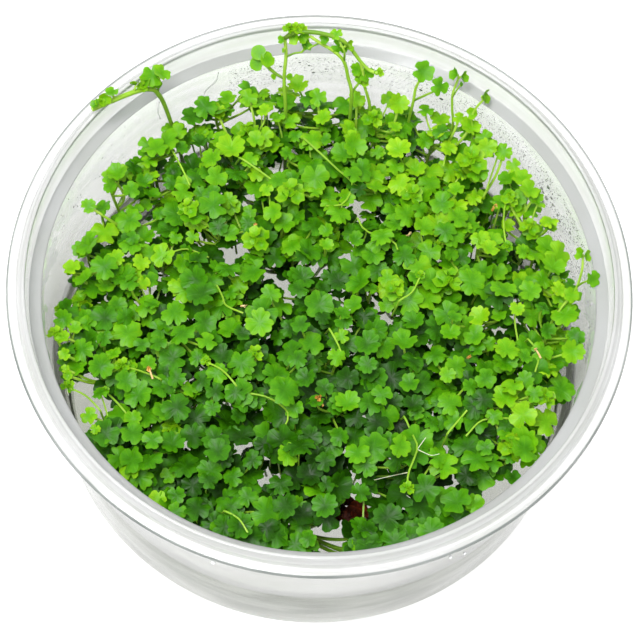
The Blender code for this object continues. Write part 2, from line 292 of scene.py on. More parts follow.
def polystyrene(name, clearness, dull, haze, wavy, dark="F6F7F4", pale="FEFEFE"):
    """Clear plastic that scatters what it does not let through."""
    made, tree, shader = surface(name, IOR=1.5, Transmission_Weight=clearness)
    place = add(tree, "ShaderNodeTexCoord").outputs["Object"]
    squeezed = add(tree, "ShaderNodeMapping", {"Vector": place, "Scale": (60, 60, 420)}).outputs["Vector"]
    waves = add(tree, "ShaderNodeTexNoise", {"Vector": squeezed, "Scale": 1.0, "Detail": 2.0}).outputs["Fac"]
    tree.links.new(scale_of(tree, waves, ((dark, 0.4), (pale, 0.6))), shader.inputs["Base Color"])
    bump = add(tree, "ShaderNodeBump", {"Height": waves, "Strength": wavy, "Distance": 0.12 * MM})
    tree.links.new(bump.outputs["Normal"], shader.inputs["Normal"])
    smear = add(tree, "ShaderNodeTexNoise", {"Vector": place, "Scale": 90.0, "Detail": 3.0}).outputs["Fac"]
    gloss = add(tree, "ShaderNodeMapRange", {"Value": smear, "To Min": dull * 0.3, "To Max": dull})
    tree.links.new(gloss.outputs["Result"], shader.inputs["Roughness"])
    inside = add(tree, "ShaderNodeVolumeAbsorption", {"Color": linear("BCC4C0"), "Density": haze})
    tree.links.new(inside.outputs["Volume"], tree.nodes["Material Output"].inputs["Volume"])
    return made


clear_wall = polystyrene("polystyrene, clear, injection-moulded", 0.77, 0.08, 6.0, 0.2)
clear_rim = polystyrene("polystyrene, clear, moulded and scuffed", 0.68, 0.1, 60.0, 0.05)
clear_crest = polystyrene("polystyrene, clear, moulded and rubbed by a lid", 0.5, 0.15, 20.0, 0.05)
# The lip is painted grey: a painted shade for the dark line along its edge.
grey_shaded_lip = polystyrene("polystyrene, clear, lip painted grey as edge shade", 0.6, 0.1, 60.0, 0.05, "AEB6B2", "CED3D0")
# Below the gel line the wall is painted grey-green: a painted shade for the gel band seen through it.
gel_band_shaded_wall = polystyrene("polystyrene, clear, painted grey-green as gel band shade", 0.7, 0.1, 6.0, 0.3, "A4AA9A", "DDE0D6")
clear_floor = polystyrene("polystyrene, clear, moulded, unscratched", 0.95, 0.05, 6.0, 0.2)
for face in cup_mesh.faces:
    middle = face.calc_center_median()
    if middle.z > CREST_FOOT * MM:
        face.material_index = 2
    elif middle.xy.length > LIP_RADIUS * MM:
        face.material_index = 5
    elif middle.z > RIM_FOOT * MM:
        face.material_index = 1
    elif middle.z < FLOOR_TOP * MM and middle.xy.length < FLOOR_RADIUS * MM:
        face.material_index = 4
    elif middle.z < GEL_LINE * MM:
        face.material_index = 3
cup_finishes = [clear_wall, clear_rim, clear_crest, gel_band_shaded_wall, clear_floor, grey_shaded_lip]
cup = piece("cup_wall", cup_mesh, cup_finishes, sharp=50, replaces=["cup"])
print("cup finishes:", [finish.name for finish in cup_finishes])

# %% [markdown]
# ## The gel
# Plant gel is poured hot and sets into a slab that clings to the wall. It is milky and clear at once: most
# light passes, some is scattered. Its top is not quite level, and it creeps up the wall a little. Where it
# meets the wall it is painted dark grey-green, as painted shade.

# %% Gel
GEL_TOP = 17.6
GEL_CREEP = 0.75
GEL_OUTLINE = [
    (0, 1.1, 0),
    (50.25, 1.1, 1.7),
    (51.1, GEL_TOP + GEL_CREEP, 0.1),
    (50.6, GEL_TOP + 0.2, 0.3),
    (49.2, GEL_TOP, 0.4),
    (44.0, GEL_TOP, 0),
    (36.0, GEL_TOP, 0),
    (28.0, GEL_TOP, 0),
    (20.0, GEL_TOP, 0),
    (12.0, GEL_TOP, 0),
    (5.0, GEL_TOP, 0),
    (0, GEL_TOP, 0),
]
GEL_UNEVEN = 0.25 * MM
GEL_SIDE = 50.0 * MM

gel_mesh = turned(GEL_OUTLINE, 120)
for vert in gel_mesh.verts:
    if vert.co.z > (GEL_TOP - 1) * MM and vert.co.xy.length < 50 * MM:
        vert.co.z += GEL_UNEVEN * (noise.noise(vert.co / (9 * MM)) - 0.5)


def gel_finish(name, clearness, dull, streaks, dark, pale):
    """Set gel that scatters what it does not let through, in layers that are streaks long."""
    made, tree, shader = surface(name, Roughness=dull, IOR=1.34, Transmission_Weight=clearness)
    place = add(tree, "ShaderNodeTexCoord").outputs["Object"]
    layers = add(tree, "ShaderNodeMapping", {"Vector": place, "Scale": streaks}).outputs["Vector"]
    cloud = add(tree, "ShaderNodeTexNoise", {"Vector": layers, "Scale": 1.0, "Detail": 3.0}).outputs["Fac"]
    tree.links.new(scale_of(tree, cloud, ((dark, 0.38), (pale, 0.62))), shader.inputs["Base Color"])
    wet = add(tree, "ShaderNodeTexNoise", {"Vector": place, "Scale": 160.0, "Detail": 2.0}).outputs["Fac"]
    bump = add(tree, "ShaderNodeBump", {"Height": wet, "Strength": 0.15, "Distance": 0.2 * MM})
    tree.links.new(bump.outputs["Normal"], shader.inputs["Normal"])
    inside = add(tree, "ShaderNodeVolumeAbsorption", {"Color": linear("D6DACA"), "Density": 8.0})
    tree.links.new(inside.outputs["Volume"], tree.nodes["Material Output"].inputs["Volume"])
    return made


set_gel = gel_finish("plant gel, set in the cup", 0.93, 0.06, (25, 25, 380), "E2E5DA", "FBFBF8")
# The gel against the wall is painted dark grey-green: a painted shade.
shaded_side_gel = gel_finish("plant gel against the wall, painted shade", 0.45, 0.2, (12, 12, 330), "6E7466", "B4B8AA")
for face in gel_mesh.faces:
    middle = face.calc_center_median()
    face.material_index = int(middle.xy.length > GEL_SIDE)
gel = piece("gel_slab", gel_mesh, [set_gel, shaded_side_gel], sharp=50, replaces=["gel"])
print("gel is", GEL_TOP, "mm deep")

# %% [markdown]
# ## The living finishes
# A pennywort leaf is thin and juicy: light goes in, turns yellow-green, and comes out again, and its skin has
# a soft gloss. Old leaves low in the mat are deep green, young ones at its edge and the tips are yellow-green.
# Leaves low in the mat and at the front are also painted darker, as painted shade.
# Each leaf carries its age, with the painted shade, and its own flat coordinates as attributes, so the darker
# middle over the stalk and the veins that fan out from it stay on the leaf however it is turned.

# %% Leaf finish
# Greens from old to young; the darkest ones also serve as painted shade deep in the mat.
LEAF_GREENS_BY_AGE_AND_SHADE = (("183C00", 0.0), ("265A00", 0.22), ("428604", 0.42), ("62A608", 0.62), ("88C012", 0.84), ("B2DC26", 1.0))
STEM_AGES = (("4C5A1C", 0.0), ("6E9A2A", 0.4), ("9CCB3A", 0.8), ("C6E665", 1.0))
VEIN_COUNT = 6

leaf_finish, tree, shader = surface(
    "pennywort leaf, living, soft gloss",
    IOR=1.4,
    Specular_IOR_Level=0.3,
    Subsurface_Weight=0.12,
    Subsurface_Radius=(0.4, 1.0, 0.08),
    Subsurface_Scale=0.6 * MM,
)
place = add(tree, "ShaderNodeTexCoord").outputs["Object"]
age = add(tree, "ShaderNodeAttribute", attribute_name="leaf_age_and_shade").outputs["Fac"]
spot = add(tree, "ShaderNodeAttribute", attribute_name="leaf_place").outputs["Vector"]
across = add(tree, "ShaderNodeSeparateXYZ", {"Vector": spot})
out = add(tree, "ShaderNodeVectorMath", {0: spot}, operation="LENGTH").outputs["Value"]
turn = add(tree, "ShaderNodeMath", {0: across.outputs["Y"], 1: across.outputs["X"]}, operation="ARCTAN2")
fan = add(tree, "ShaderNodeMath", {0: turn.outputs["Value"], 1: VEIN_COUNT / 2}, operation="MULTIPLY")
beside = add(tree, "ShaderNodeMath", {0: fan.outputs["Value"]}, operation="COSINE")
beside = add(tree, "ShaderNodeMath", {0: beside.outputs["Value"]}, operation="ABSOLUTE")
beside = add(tree, "ShaderNodeMath", {0: beside.outputs["Value"], 1: out}, operation="MULTIPLY")
vein = {"Value": beside.outputs["Value"], "From Min": 0.02, "From Max": 0.14, "To Min": 1.0, "To Max": 0.0}
vein = add(tree, "ShaderNodeMapRange", vein, interpolation_type="SMOOTHSTEP").outputs["Result"]
start = {"Value": out, "From Min": 0.12, "From Max": 0.4}
start = add(tree, "ShaderNodeMapRange", start, interpolation_type="SMOOTHSTEP").outputs["Result"]
vein = add(tree, "ShaderNodeMath", {0: vein, 1: start}, operation="MULTIPLY").outputs["Value"]
heart = {"Value": out, "From Min": 0.1, "From Max": 0.95, "To Min": 1.0, "To Max": 0.0}
heart = add(tree, "ShaderNodeMapRange", heart, interpolation_type="SMOOTHSTEP").outputs["Result"]
mottle = add(tree, "ShaderNodeTexNoise", {"Vector": place, "Scale": 600.0, "Detail": 3.0}).outputs["Fac"]
uneven = add(tree, "ShaderNodeMapRange", {"Value": mottle, "To Min": -0.14, "To Max": 0.14}).outputs["Result"]
older = add(tree, "ShaderNodeMath", {0: age, 1: uneven}, operation="ADD").outputs["Value"]
paler = add(tree, "ShaderNodeMath", {0: vein, 1: 0.05, 2: older}, operation="MULTIPLY_ADD").outputs["Value"]
paler = add(tree, "ShaderNodeMath", {0: heart, 1: -0.15, 2: paler}, operation="MULTIPLY_ADD").outputs["Value"]
tree.links.new(scale_of(tree, paler, LEAF_GREENS_BY_AGE_AND_SHADE), shader.inputs["Base Color"])
gloss = add(tree, "ShaderNodeMapRange", {"Value": mottle, "To Min": 0.3, "To Max": 0.55}).outputs["Result"]
tree.links.new(gloss, shader.inputs["Roughness"])
sunken = add(tree, "ShaderNodeMath", {0: vein, 1: -0.5, 2: mottle}, operation="MULTIPLY_ADD").outputs["Value"]
bump = add(tree, "ShaderNodeBump", {"Height": sunken, "Strength": 0.4, "Distance": 0.14 * MM})
tree.links.new(bump.outputs["Normal"], shader.inputs["Normal"])

# %% Stem finish
stem_finish, tree, shader = surface(
    "pennywort stem, living, juicy",
    Roughness=0.35,
    IOR=1.4,
    Specular_IOR_Level=0.35,
    Subsurface_Weight=0.2,
    Subsurface_Radius=(0.5, 1.0, 0.2),
    Subsurface_Scale=0.4 * MM,
)
place = add(tree, "ShaderNodeTexCoord").outputs["Object"]
age = add(tree, "ShaderNodeAttribute", attribute_name="leaf_age_and_shade").outputs["Fac"]
streaks = add(tree, "ShaderNodeTexNoise", {"Vector": place, "Scale": 500.0, "Detail": 2.0}).outputs["Fac"]
uneven = add(tree, "ShaderNodeMapRange", {"Value": streaks, "To Min": -0.15, "To Max": 0.15}).outputs["Result"]
older = add(tree, "ShaderNodeMath", {0: age, 1: uneven}, operation="ADD").outputs["Value"]
tree.links.new(scale_of(tree, older, STEM_AGES), shader.inputs["Base Color"])
bump = add(tree, "ShaderNodeBump", {"Height": streaks, "Strength": 0.2, "Distance": 0.1 * MM})
tree.links.new(bump.outputs["Normal"], shader.inputs["Normal"])
print("finishes:", [m.name for m in bpy.data.materials])

# %% [markdown]
# ## One leaf
# The blade has three wedge-shaped parts, each with two or three round scallops, and a deeper notch where the
# stalk's side lies. It starts as a flat disc whose rim is pulled in and out, an inner ring is extruded from
# it, and the middle is poked on both sides, which gives a closed blade with a thin edge in only a few dozen
# faces. Several shapes are made, flat, domed and cupped, so that no two neighbours look alike.

# %% Leaf shapes
SCALLOP = 0.15
CLEFT_TURN = math.radians(60)
CLEFT_WIDTH = 0.21
INNER_RING = 0.58


def margin(turn, lobes, cleft, notch):
    """Distance of the blade's margin from the stalk, for a direction: scallops, two clefts and a notch."""
    scallop = abs(math.sin(lobes / 2 * (turn - CLEFT_TURN))) ** 0.75
    reach = 1 - SCALLOP * (1 - scallop)
    for middle, depth in ((CLEFT_TURN, cleft), (-CLEFT_TURN, cleft), (math.pi, notch)):
        apart = abs((turn - middle + math.pi) % math.tau - math.pi)
        reach -= depth * math.exp(-((apart / CLEFT_WIDTH) ** 2))
    return reach


def blade(lobes, points, cleft, notch, dish, droop, fold, seed):
    """A closed leaf blade of radius one: dish sinks its middle, droop lowers its rim, fold pleats its parts."""
    chance = random.Random(seed)
    mesh = bmesh.new()
    flat = mesh.verts.layers.float_vector.new("leaf_place")
    rim = bmesh.ops.create_circle(mesh, cap_ends=True, segments=points, radius=1)["verts"]
    for vert in rim:
        turn = math.atan2(vert.co.y, vert.co.x) + CLEFT_TURN
        reach = margin(turn, lobes, cleft, notch) * chance.uniform(0.97, 1.03)
        vert.co = Vector((math.cos(turn), math.sin(turn), 0)) * reach
    under = rim[0].link_faces[0]
    made = bmesh.ops.extrude_face_region(mesh, geom=[under])["geom"]
    ring = [item for item in made if isinstance(item, bmesh.types.BMVert)]
    top = next(item for item in made if isinstance(item, bmesh.types.BMFace))
    bmesh.ops.scale(mesh, vec=(INNER_RING, INNER_RING, 1), verts=ring)
    heart = bmesh.ops.poke(mesh, faces=[top])["verts"][0]
    joint = bmesh.ops.poke(mesh, faces=[under])["verts"][0]
    for vert in mesh.verts:
        out = vert.co.xy.length
        turn = math.atan2(vert.co.y, vert.co.x)
        vert[flat] = (vert.co.x, vert.co.y, 0)
        vert.co.z = -dish * (1 - out) ** 2 - droop * out**2 + fold * out * math.cos(3 * turn)
        if vert in rim:
            vert.co.z += 0.06 * chance.uniform(-1, 1)
    joint.co.z = heart.co.z - 0.07
    bmesh.ops.recalc_face_normals(mesh, faces=mesh.faces)
    data = bpy.data.meshes.new("leaf shape")
    mesh.to_mesh(data)
    mesh.free()
    return data


FULL_LEAVES = [
    blade(6, 24, 0.24, 0.42, 0.24, 0.16, 0.13, 1),
    blade(6, 24, 0.36, 0.48, 0.16, 0.24, 0.17, 2),
    blade(6, 24, 0.16, 0.36, 0.32, 0.04, 0.12, 3),
    blade(9, 36, 0.16, 0.38, 0.28, 0.10, 0.12, 4),
    blade(9, 36, 0.24, 0.42, 0.20, 0.26, 0.15, 5),
    blade(9, 36, 0.12, 0.36, 0.36, -0.10, 0.14, 6),
    blade(9, 36, 0.30, 0.46, 0.16, 0.34, 0.16, 7),
]
YOUNG_LEAVES = [
    blade(6, 18, 0.30, 0.50, 0.45, -0.45, 0.10, 8),
    blade(6, 18, 0.24, 0.45, 0.35, -0.30, 0.16, 9),
]
ROUND_LOBE = blade(0, 16, 0.0, 0.3, 0.12, 0.10, 0.0, 10)
print("leaf shapes:", [len(shape.polygons) for shape in FULL_LEAVES + YOUNG_LEAVES], "faces")

# %% [markdown]
# ## Stalks
# A stalk or stem is a tube along a smooth curve. One straight tube of unit length is extruded once. Every
# stalk is a copy whose rings are carried onto the curve, thinning on the way.

# %% Stalks


def straight_tube(sides, rings):
    """A closed tube of radius and length one, extruded ring by ring."""
    mesh = bmesh.new()
    bmesh.ops.create_circle(mesh, cap_ends=True, segments=sides, radius=1)
    cap = mesh.faces[:][0]
    first = cap
    for _ in range(rings):
        made = bmesh.ops.extrude_face_region(mesh, geom=[cap])["geom"]
        if cap is not first:
            bmesh.ops.delete(mesh, geom=[cap], context="FACES_ONLY")
        cap = next(item for item in made if isinstance(item, bmesh.types.BMFace))
        bmesh.ops.translate(mesh, vec=(0, 0, 1 / rings), verts=cap.verts)
    bmesh.ops.recalc_face_normals(mesh, faces=mesh.faces)
    data = bpy.data.meshes.new("straight tube")
    mesh.to_mesh(data)
    mesh.free()
    return data


def smooth_route(points, steps):
    """Points on a smooth curve through the route's points."""
    points = [Vector(p) for p in points]
    ends = [points[0] * 2 - points[1], *points, points[-1] * 2 - points[-2]]
    made = []
    for before, start, end, after in zip(ends, ends[1:], ends[2:], ends[3:]):
        for i in range(steps):
            t = i / steps
            pull = (end - before) * t * (1 - t) ** 2 + (start - after) * t * t * (1 - t)
            made.append(start.lerp(end, t * t * (3 - 2 * t)) + pull * 0.5)
    return [*made, points[-1]]


def carry(verts, route, start_radius, end_radius):
    """Carries a straight tube's vertices onto a route, thinning from its start to its end."""
    last = len(route) - 1
    side = (route[1] - route[0]).orthogonal().normalized()
    frames = []
    for i, point in enumerate(route):
        heading = (route[min(i + 1, last)] - route[max(i - 1, 0)]).normalized()
        side = (side - heading * side.dot(heading)).normalized()
        frames.append((point, side, heading.cross(side)))
    for vert in verts:
        share = vert.co.z
        point, side, other = frames[round(share * last)]
        radius = start_radius + (end_radius - start_radius) * share
        vert.co = point + (side * vert.co.x + other * vert.co.y) * radius


class Growth:
    """The mesh of one grown piece, to which leaves and stalks are added."""

    def __init__(self):
        self.mesh = bmesh.new()
        self.flat = self.mesh.verts.layers.float_vector.new("leaf_place")
        self.age = self.mesh.verts.layers.float.new("leaf_age_and_shade")
        self.leaves = 0

    def added(self, shape, finish):
        """Appends a shape and returns its vertices."""
        old_verts, old_faces = len(self.mesh.verts), len(self.mesh.faces)
        self.mesh.from_mesh(shape)
        self.mesh.verts.ensure_lookup_table()
        self.mesh.faces.ensure_lookup_table()
        for face in self.mesh.faces[old_faces:]:
            face.material_index = finish
        return self.mesh.verts[old_verts:]

    def leaf(self, shape, centre, normal, spin, radius, age):
        """A blade with the middle of its top at a place, facing along its normal."""
        turn = Vector(normal).to_track_quat("Z", "Y").to_matrix().to_4x4()
        place = Matrix.Translation(centre) @ turn @ Matrix.Rotation(spin, 4, "Z") @ Matrix.Scale(radius, 4)
        verts = self.added(shape, 0)
        for vert in verts:
            vert.co = place @ vert.co
            vert[self.age] = age
        self.leaves += 1

    def stem(self, tube, route, start_radius, end_radius, start_age, end_age):
        """A stem or stalk along a route, ageing from its start to its end."""
        verts = self.added(tube, 1)
        for vert in verts:
            vert[self.age] = start_age + (end_age - start_age) * vert.co.z
        carry(verts, route, start_radius, end_radius)


STALK_RINGS = 6
STEM_RINGS = 16
STALK_TUBE = straight_tube(4, STALK_RINGS)
STEM_TUBE = straight_tube(6, STEM_RINGS)


def arc(start, start_pull, end_pull, end, steps):
    """Points on a curve from start to end, drawn towards two pulls on the way."""
    made = []
    for i in range(steps + 1):
        t = i / steps
        a, b, c = start.lerp(start_pull, t), start_pull.lerp(end_pull, t), end_pull.lerp(end, t)
        made.append(a.lerp(b, t).lerp(b.lerp(c, t), t))
    return made


print("tubes:", len(STALK_TUBE.polygons), "and", len(STEM_TUBE.polygons), "faces")

# %% [markdown]
# ## Where the leaves are
# The mat is a low mound, highest in the middle and lower at the front, with tufts a centimetre across. Four
# layers of leaves are scattered over it along sunflower spirals, each leaf pushed about a little. A leaf that
# would touch one it overlaps is lowered until it is clear. Leaves are bigger at the front and in the middle,
# smaller and yellower towards the edge, where they are young, and deeper green in the middle. Leaves at the
# front and in the lower layers are painted darker, as painted shade, and leaves are a little lighter towards
# the right. Here and there the mat is open down to the pale gel: no leaf stands in a slanting shaft there. At
# the front the tufts lean inwards, away from the wall.

# %% Leaf places
GOLDEN_TURN = math.pi * (3 - math.sqrt(5))
MAT_RADIUS = 51.3 * MM
# reach of the leaf tips from the cup's middle, in mm, every 15 degrees from the right going round by the back
MAT_REACH = (51.3, 50.8, 50.2, 50.8, 50.6, 50.0, 49.0, 50.2, 51.0, 50.2, 49.4, 48.8,
             50.4, 51.0, 50.2, 50.0, 50.0, 48.9, 48.6, 49.4, 49.8, 50.2, 51.2, 51.4)
MAT_HEIGHT = 39.8 * MM
BACK_RISE = 2.0 * MM
FRONT_FALL = 6.0 * MM
SIDE_FALL = 2.0 * MM
TUFT_SIZE = 7 * MM
TUFT_RISE = 4.2 * MM
LAYERS = ((640, 0.0), (600, 3.4), (480, 7.2), (320, 12.0))  # leaves, and depth under the mat's top in mm
CLEAR_ABOVE = 0.75 * MM
DEEP_MIDDLE = Vector((3, -15)) * MM
DEEP_REACH = Vector((52, 54)) * MM
SLANT = 0.477
HOLE_LEVEL = 38
# places and radii in mm of the openings, at the mat's height
HOLES = [
    (-8.7, 6.5, 1.2), (-17.7, 10.5, 1.6), (-2.3, 9.4, 0.9), (4.8, 11.8, 1.0), (5.9, 21.8, 1.2), (-5.2, 1.2, 0.7),
    (-8.6, -4.7, 0.6), (21.4, -5.3, 0.9), (5.6, 4.7, 0.7), (-7.7, -36.0, 1.2), (-13.3, -29.8, 0.8),
    (6.3, -30.4, 0.6), (23.7, -33.0, 0.9), (20.8, -42.0, 0.7), (32.6, 34.6, 1.5),
    (33.0, 29.0, 1.5), (32.8, 22.7, 1.0), (30.4, 15.4, 0.9), (36.8, 17.1, 0.9), (39.8, 23.9, 0.8),
    (36.6, 4.5, 0.8), (-15.8, 41.9, 1.2), (0.4, 43.6, 1.1), (25.3, 39.5, 1.0), (18.2, 42.1, 0.8),
    (19.5, 36.4, 0.6), (-31.8, 31.7, 0.9), (-26.5, 33.0, 0.7), (-42.1, 20.4, 1.2), (-45.6, 14.4, 1.6),
    (-33.8, 14.4, 0.6), (-40.7, -26.4, 2.2), (-44.2, -20.5, 2.0), (-49.0, -10.2, 1.4), (-48.3, -0.2, 0.7),
    (46.2, -16.0, 0.9), (34.4, -35.0, 0.6), (7.5, -46.9, 1.9), (3.5, -46.6, 1.4), (9.1, -41.2, 1.7), (7.2, -41.4, 1.3),
    (11.4, -41.0, 1.3), (36.0, -35.6, 1.2), (38.4, -34.0, 1.2),
    (-0.3, -45.5, 0.8), (-26.7, -0.4, 0.6), (39.0, 12.3, 0.7), (44.1, -22.6, 0.6),
]


def mat_reach(turn):
    """How far the leaf tips reach from the cup's middle in one direction."""
    step = math.degrees(turn) % 360 / 15
    low, share = int(step), step % 1
    return (MAT_REACH[low % 24] * (1 - share) + MAT_REACH[(low + 1) % 24] * share) * MM


def mat_top(x, y):
    """Height of the mat's top over a spot, with its tufts."""
    front = min(max((-y - 14 * MM) / (34 * MM), 0), 1)
    back = min(max(y / MAT_RADIUS, 0), 1)
    edge = min(math.hypot(x, y) / MAT_RADIUS, 1.1) ** 3
    tuft = noise.noise(Vector((x, y, 0)) / TUFT_SIZE)
    return MAT_HEIGHT + BACK_RISE * back - FRONT_FALL * front**1.5 - SIDE_FALL * edge + TUFT_RISE * tuft


def youth(x, y):
    """0 in the deep green middle of the mat, 1 at its young edge."""
    away = math.hypot((x - DEEP_MIDDLE.x) / DEEP_REACH.x, (y - DEEP_MIDDLE.y) / DEEP_REACH.y)
    return min(max((away - 0.3) / 0.6, 0), 1)


def in_opening(x, y, z, radius):
    """Whether a leaf would close one of the openings."""
    for hole_x, hole_y, hole_radius in HOLES:
        shifted = hole_y + (HOLE_LEVEL - z / MM) * SLANT
        if math.hypot(x / MM - hole_x, y / MM - shifted) < 0.85 * hole_radius + 0.56 * radius / MM:
            return True
    return False


def scattered(chance):
    """Leaf places as dictionaries, from the top layer down."""
    cells, leaves = {}, []
    for number, (count, depth) in enumerate(LAYERS):
        for n in range(count):
            out = MAT_RADIUS * math.sqrt((n + 0.5) / count)
            turn = n * GOLDEN_TURN + number * 1.7
            x = out * math.cos(turn) + chance.gauss(0, 1.1) * MM
            y = out * math.sin(turn) + chance.gauss(0, 1.1) * MM
            young = youth(x, y)
            front = max(-y / MAT_RADIUS, 0)
            radius = (2.55 - 0.15 * young + 0.6 * front**1.5 + 0.15 * number) * chance.uniform(0.6, 1.24) * MM
            turn = math.atan2(y, x)
            lean = 0.5 * depth * MM * max(0.0, -math.sin(turn)) ** 5 + 0.1 * depth * MM
            reach = mat_reach(turn) - radius * 0.8 - lean
            away = math.hypot(x, y)
            if away > reach:
                if number > 1:
                    continue
                x, y = x * reach / away, y * reach / away
            if number == 0 and noise.noise(Vector((x, y, 0.05)) / (4.5 * MM)) < -0.38:
                continue
            z = mat_top(x, y) - depth * MM + chance.gauss(0, 1.0) * MM
            z = max(z, (GEL_TOP + 2.0) * MM)
            if in_opening(x, y, z, radius):
                continue
            cell = (round(x / (6 * MM)), round(y / (6 * MM)))
            sides = [(cell[0] + i, cell[1] + j) for i in (-1, 0, 1) for j in (-1, 0, 1)]
            near = [other for side in sides for other in cells.get(side, [])]
            for _ in range(10):
                touching = any(
                    abs(z - other["z"]) < CLEAR_ABOVE
                    and math.hypot(x - other["x"], y - other["y"]) < 0.8 * (radius + other["radius"])
                    for other in near
                )
                if not touching:
                    break
                z -= 0.5 * MM
            z = max(z, (GEL_TOP + 1.0) * MM)
            # The age also carries painted shade: leaves at the front and in the lower layers are made darker, and
            # leaves are a little lighter towards the right.
            age = 0.47 + 0.21 * young - 0.2 * front + 0.05 * x / MAT_RADIUS + chance.gauss(0, 0.13) - 0.13 * number
            leaf = {"x": x, "y": y, "z": z, "radius": radius, "age": min(max(age, 0.08), 0.88), "layer": number}
            cells.setdefault(cell, []).append(leaf)
            leaves.append(leaf)
    return leaves


chance = random.Random(SEED)
leaf_places = scattered(chance)
print("leaves:", len(leaf_places))

# %% [markdown]
# ## The plantlets
# Each of the fifteen plantlets is a tuft: a handful of stems rises from its crown on the gel and spreads, and
# every leaf of its share of the mat hangs on a stalk that leaves the nearest stem lower down. The foliage
# takes the place of the plantlet's solid, whose faceted blades stand for it elsewhere.

# %% Plantlets
STEMS_EACH = 9
STEM_RADIUS = 0.42 * MM
STALK_RADIUS = 0.26 * MM
LONGEST_STALK = 8 * MM


def crown_of(node):
    """The middle of the foot of a plantlet's solid."""
    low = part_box(node)[0].z
    feet = [v.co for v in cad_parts[node].data.vertices if v.co.z < low + 0.5 * MM]
    return sum(feet, Vector()) / len(feet)


crowns = {name: crown_of(name) for name in (f"plantlet_{i:02d}" for i in range(1, 16))}
shares = {name: [] for name in crowns}


def owner_of(x, y):
    """The plantlet that a spot belongs to."""
    return min(crowns, key=lambda name: (crowns[name].xy - Vector((x, y))).length)


for leaf in leaf_places:
    shares[owner_of(leaf["x"], leaf["y"])].append(leaf)


def plantlet_stems(growth, crown, leaves, chance):
    """Stems from the crown to the top of the plantlet's share. Returns sample points on them."""
    samples = []
    tops = [leaf for leaf in leaves if leaf["layer"] == 0]
    for leaf in chance.sample(tops, min(STEMS_EACH, len(tops))):
        tip = Vector((leaf["x"], leaf["y"], leaf["z"] - 1.5 * MM))
        away = Vector((tip.x - crown.x, tip.y - crown.y, 0))
        root = crown + away * 0.05 - Vector((0, 0, 0.6 * MM))
        rise = tip.z - root.z
        sway = Vector((chance.gauss(0, 1.2), chance.gauss(0, 1.2), 0)) * MM
        route = arc(root, root + away * 0.55 + sway, tip - Vector((0, 0, rise * 0.5)) - sway, tip, STEM_RINGS)
        growth.stem(STEM_TUBE, route, STEM_RADIUS, STEM_RADIUS * 0.7, 0.15, 0.75)
        samples.extend(route[2:-1])
    return samples


def hang(growth, leaf, samples, chance):
    """One leaf of the mat on its stalk."""
    x, y = leaf["x"], leaf["y"]
    out = Vector((x, y, 0)) / MAT_RADIUS
    lean = 0.3 + 0.05 * leaf["layer"]
    normal = Vector((chance.gauss(0, lean), chance.gauss(0, lean), 1)) + out * 0.22 * out.length
    normal.normalize()
    centre = Vector((x, y, leaf["z"]))
    joint = centre - normal * leaf["radius"] * 0.42
    lower = [p for p in samples if p.z < joint.z - 2.0 * MM] or samples
    start = min(lower, key=lambda p: (p - joint).length + 0.5 * abs(joint.z - p.z - 6 * MM))
    if (start - joint).xy.length > LONGEST_STALK:
        start = Vector((x * 0.94, y * 0.94, (GEL_TOP - 0.5) * MM))
    pull = (joint - start).length
    towards = Vector((joint.x - start.x, joint.y - start.y, 0))
    rise = start + towards * 0.5 + Vector((0, 0, pull * 0.15))
    route = arc(start, rise, joint - normal * pull * 0.4, joint, STALK_RINGS)
    age = min(leaf["age"] + 0.3, 0.9)
    growth.stem(STALK_TUBE, route, STALK_RADIUS, STALK_RADIUS * 0.75, age - 0.2, age)
    shape = chance.choice(FULL_LEAVES)
    growth.leaf(shape, centre, normal, chance.uniform(0, math.tau), leaf["radius"], leaf["age"])


growths, samples_of = {}, {}
for name, crown in crowns.items():
    growths[name] = Growth()
    samples_of[name] = plantlet_stems(growths[name], crown, shares[name], chance)
    for leaf in shares[name]:
        hang(growths[name], leaf, samples_of[name], chance)
print("leaves hung:", sum(growth.leaves for growth in growths.values()))

# %% [markdown]
# ## Young tips and runners over the mat
# Every runner ends in a tuft of tiny, bright leaves that are still folded round its bud. Many stand among the
# old leaves, and some sit at the end of a pale runner that lies on top of the mat. Along the wall small sprigs
# lean out over the gap.

# %% Young tips and runners
SPOT_LEVEL = 40.5
# places of young tips in mm, seen from above at the mat's height, and their radius
YOUNG_TIPS = [
    (-6.8, 22.7, 2.7), (0.1, 19.8, 2.6), (4.3, 30.2, 2.2), (24.7, 6.6, 2.5), (-12.8, 12.3, 2.5), (35.8, 25.5, 1.6),
    (-21.5, -14.5, 1.6), (-36.1, -16.5, 1.3), (18.4, -23.8, 1.6), (38.4, -27.2, 2.4), (-49.8, -11.0, 1.4),
    (40.0, 19.7, 1.8), (16.6, 24.7, 1.9), (-26.4, 17.9, 2.0), (-45.8, -1.1, 1.9), (46.4, -1.9, 2.0),
    (21.6, 35.5, 2.1), (27.8, 33.3, 2.6), (46.1, 8.8, 2.2), (-11.3, -12.0, 1.5), (-25.9, -28.6, 1.8),
    (14.4, 4.0, 1.6), (-16.4, 36.5, 1.9), (8.0, 41.0, 1.8), (44.0, -16.7, 1.8),
]
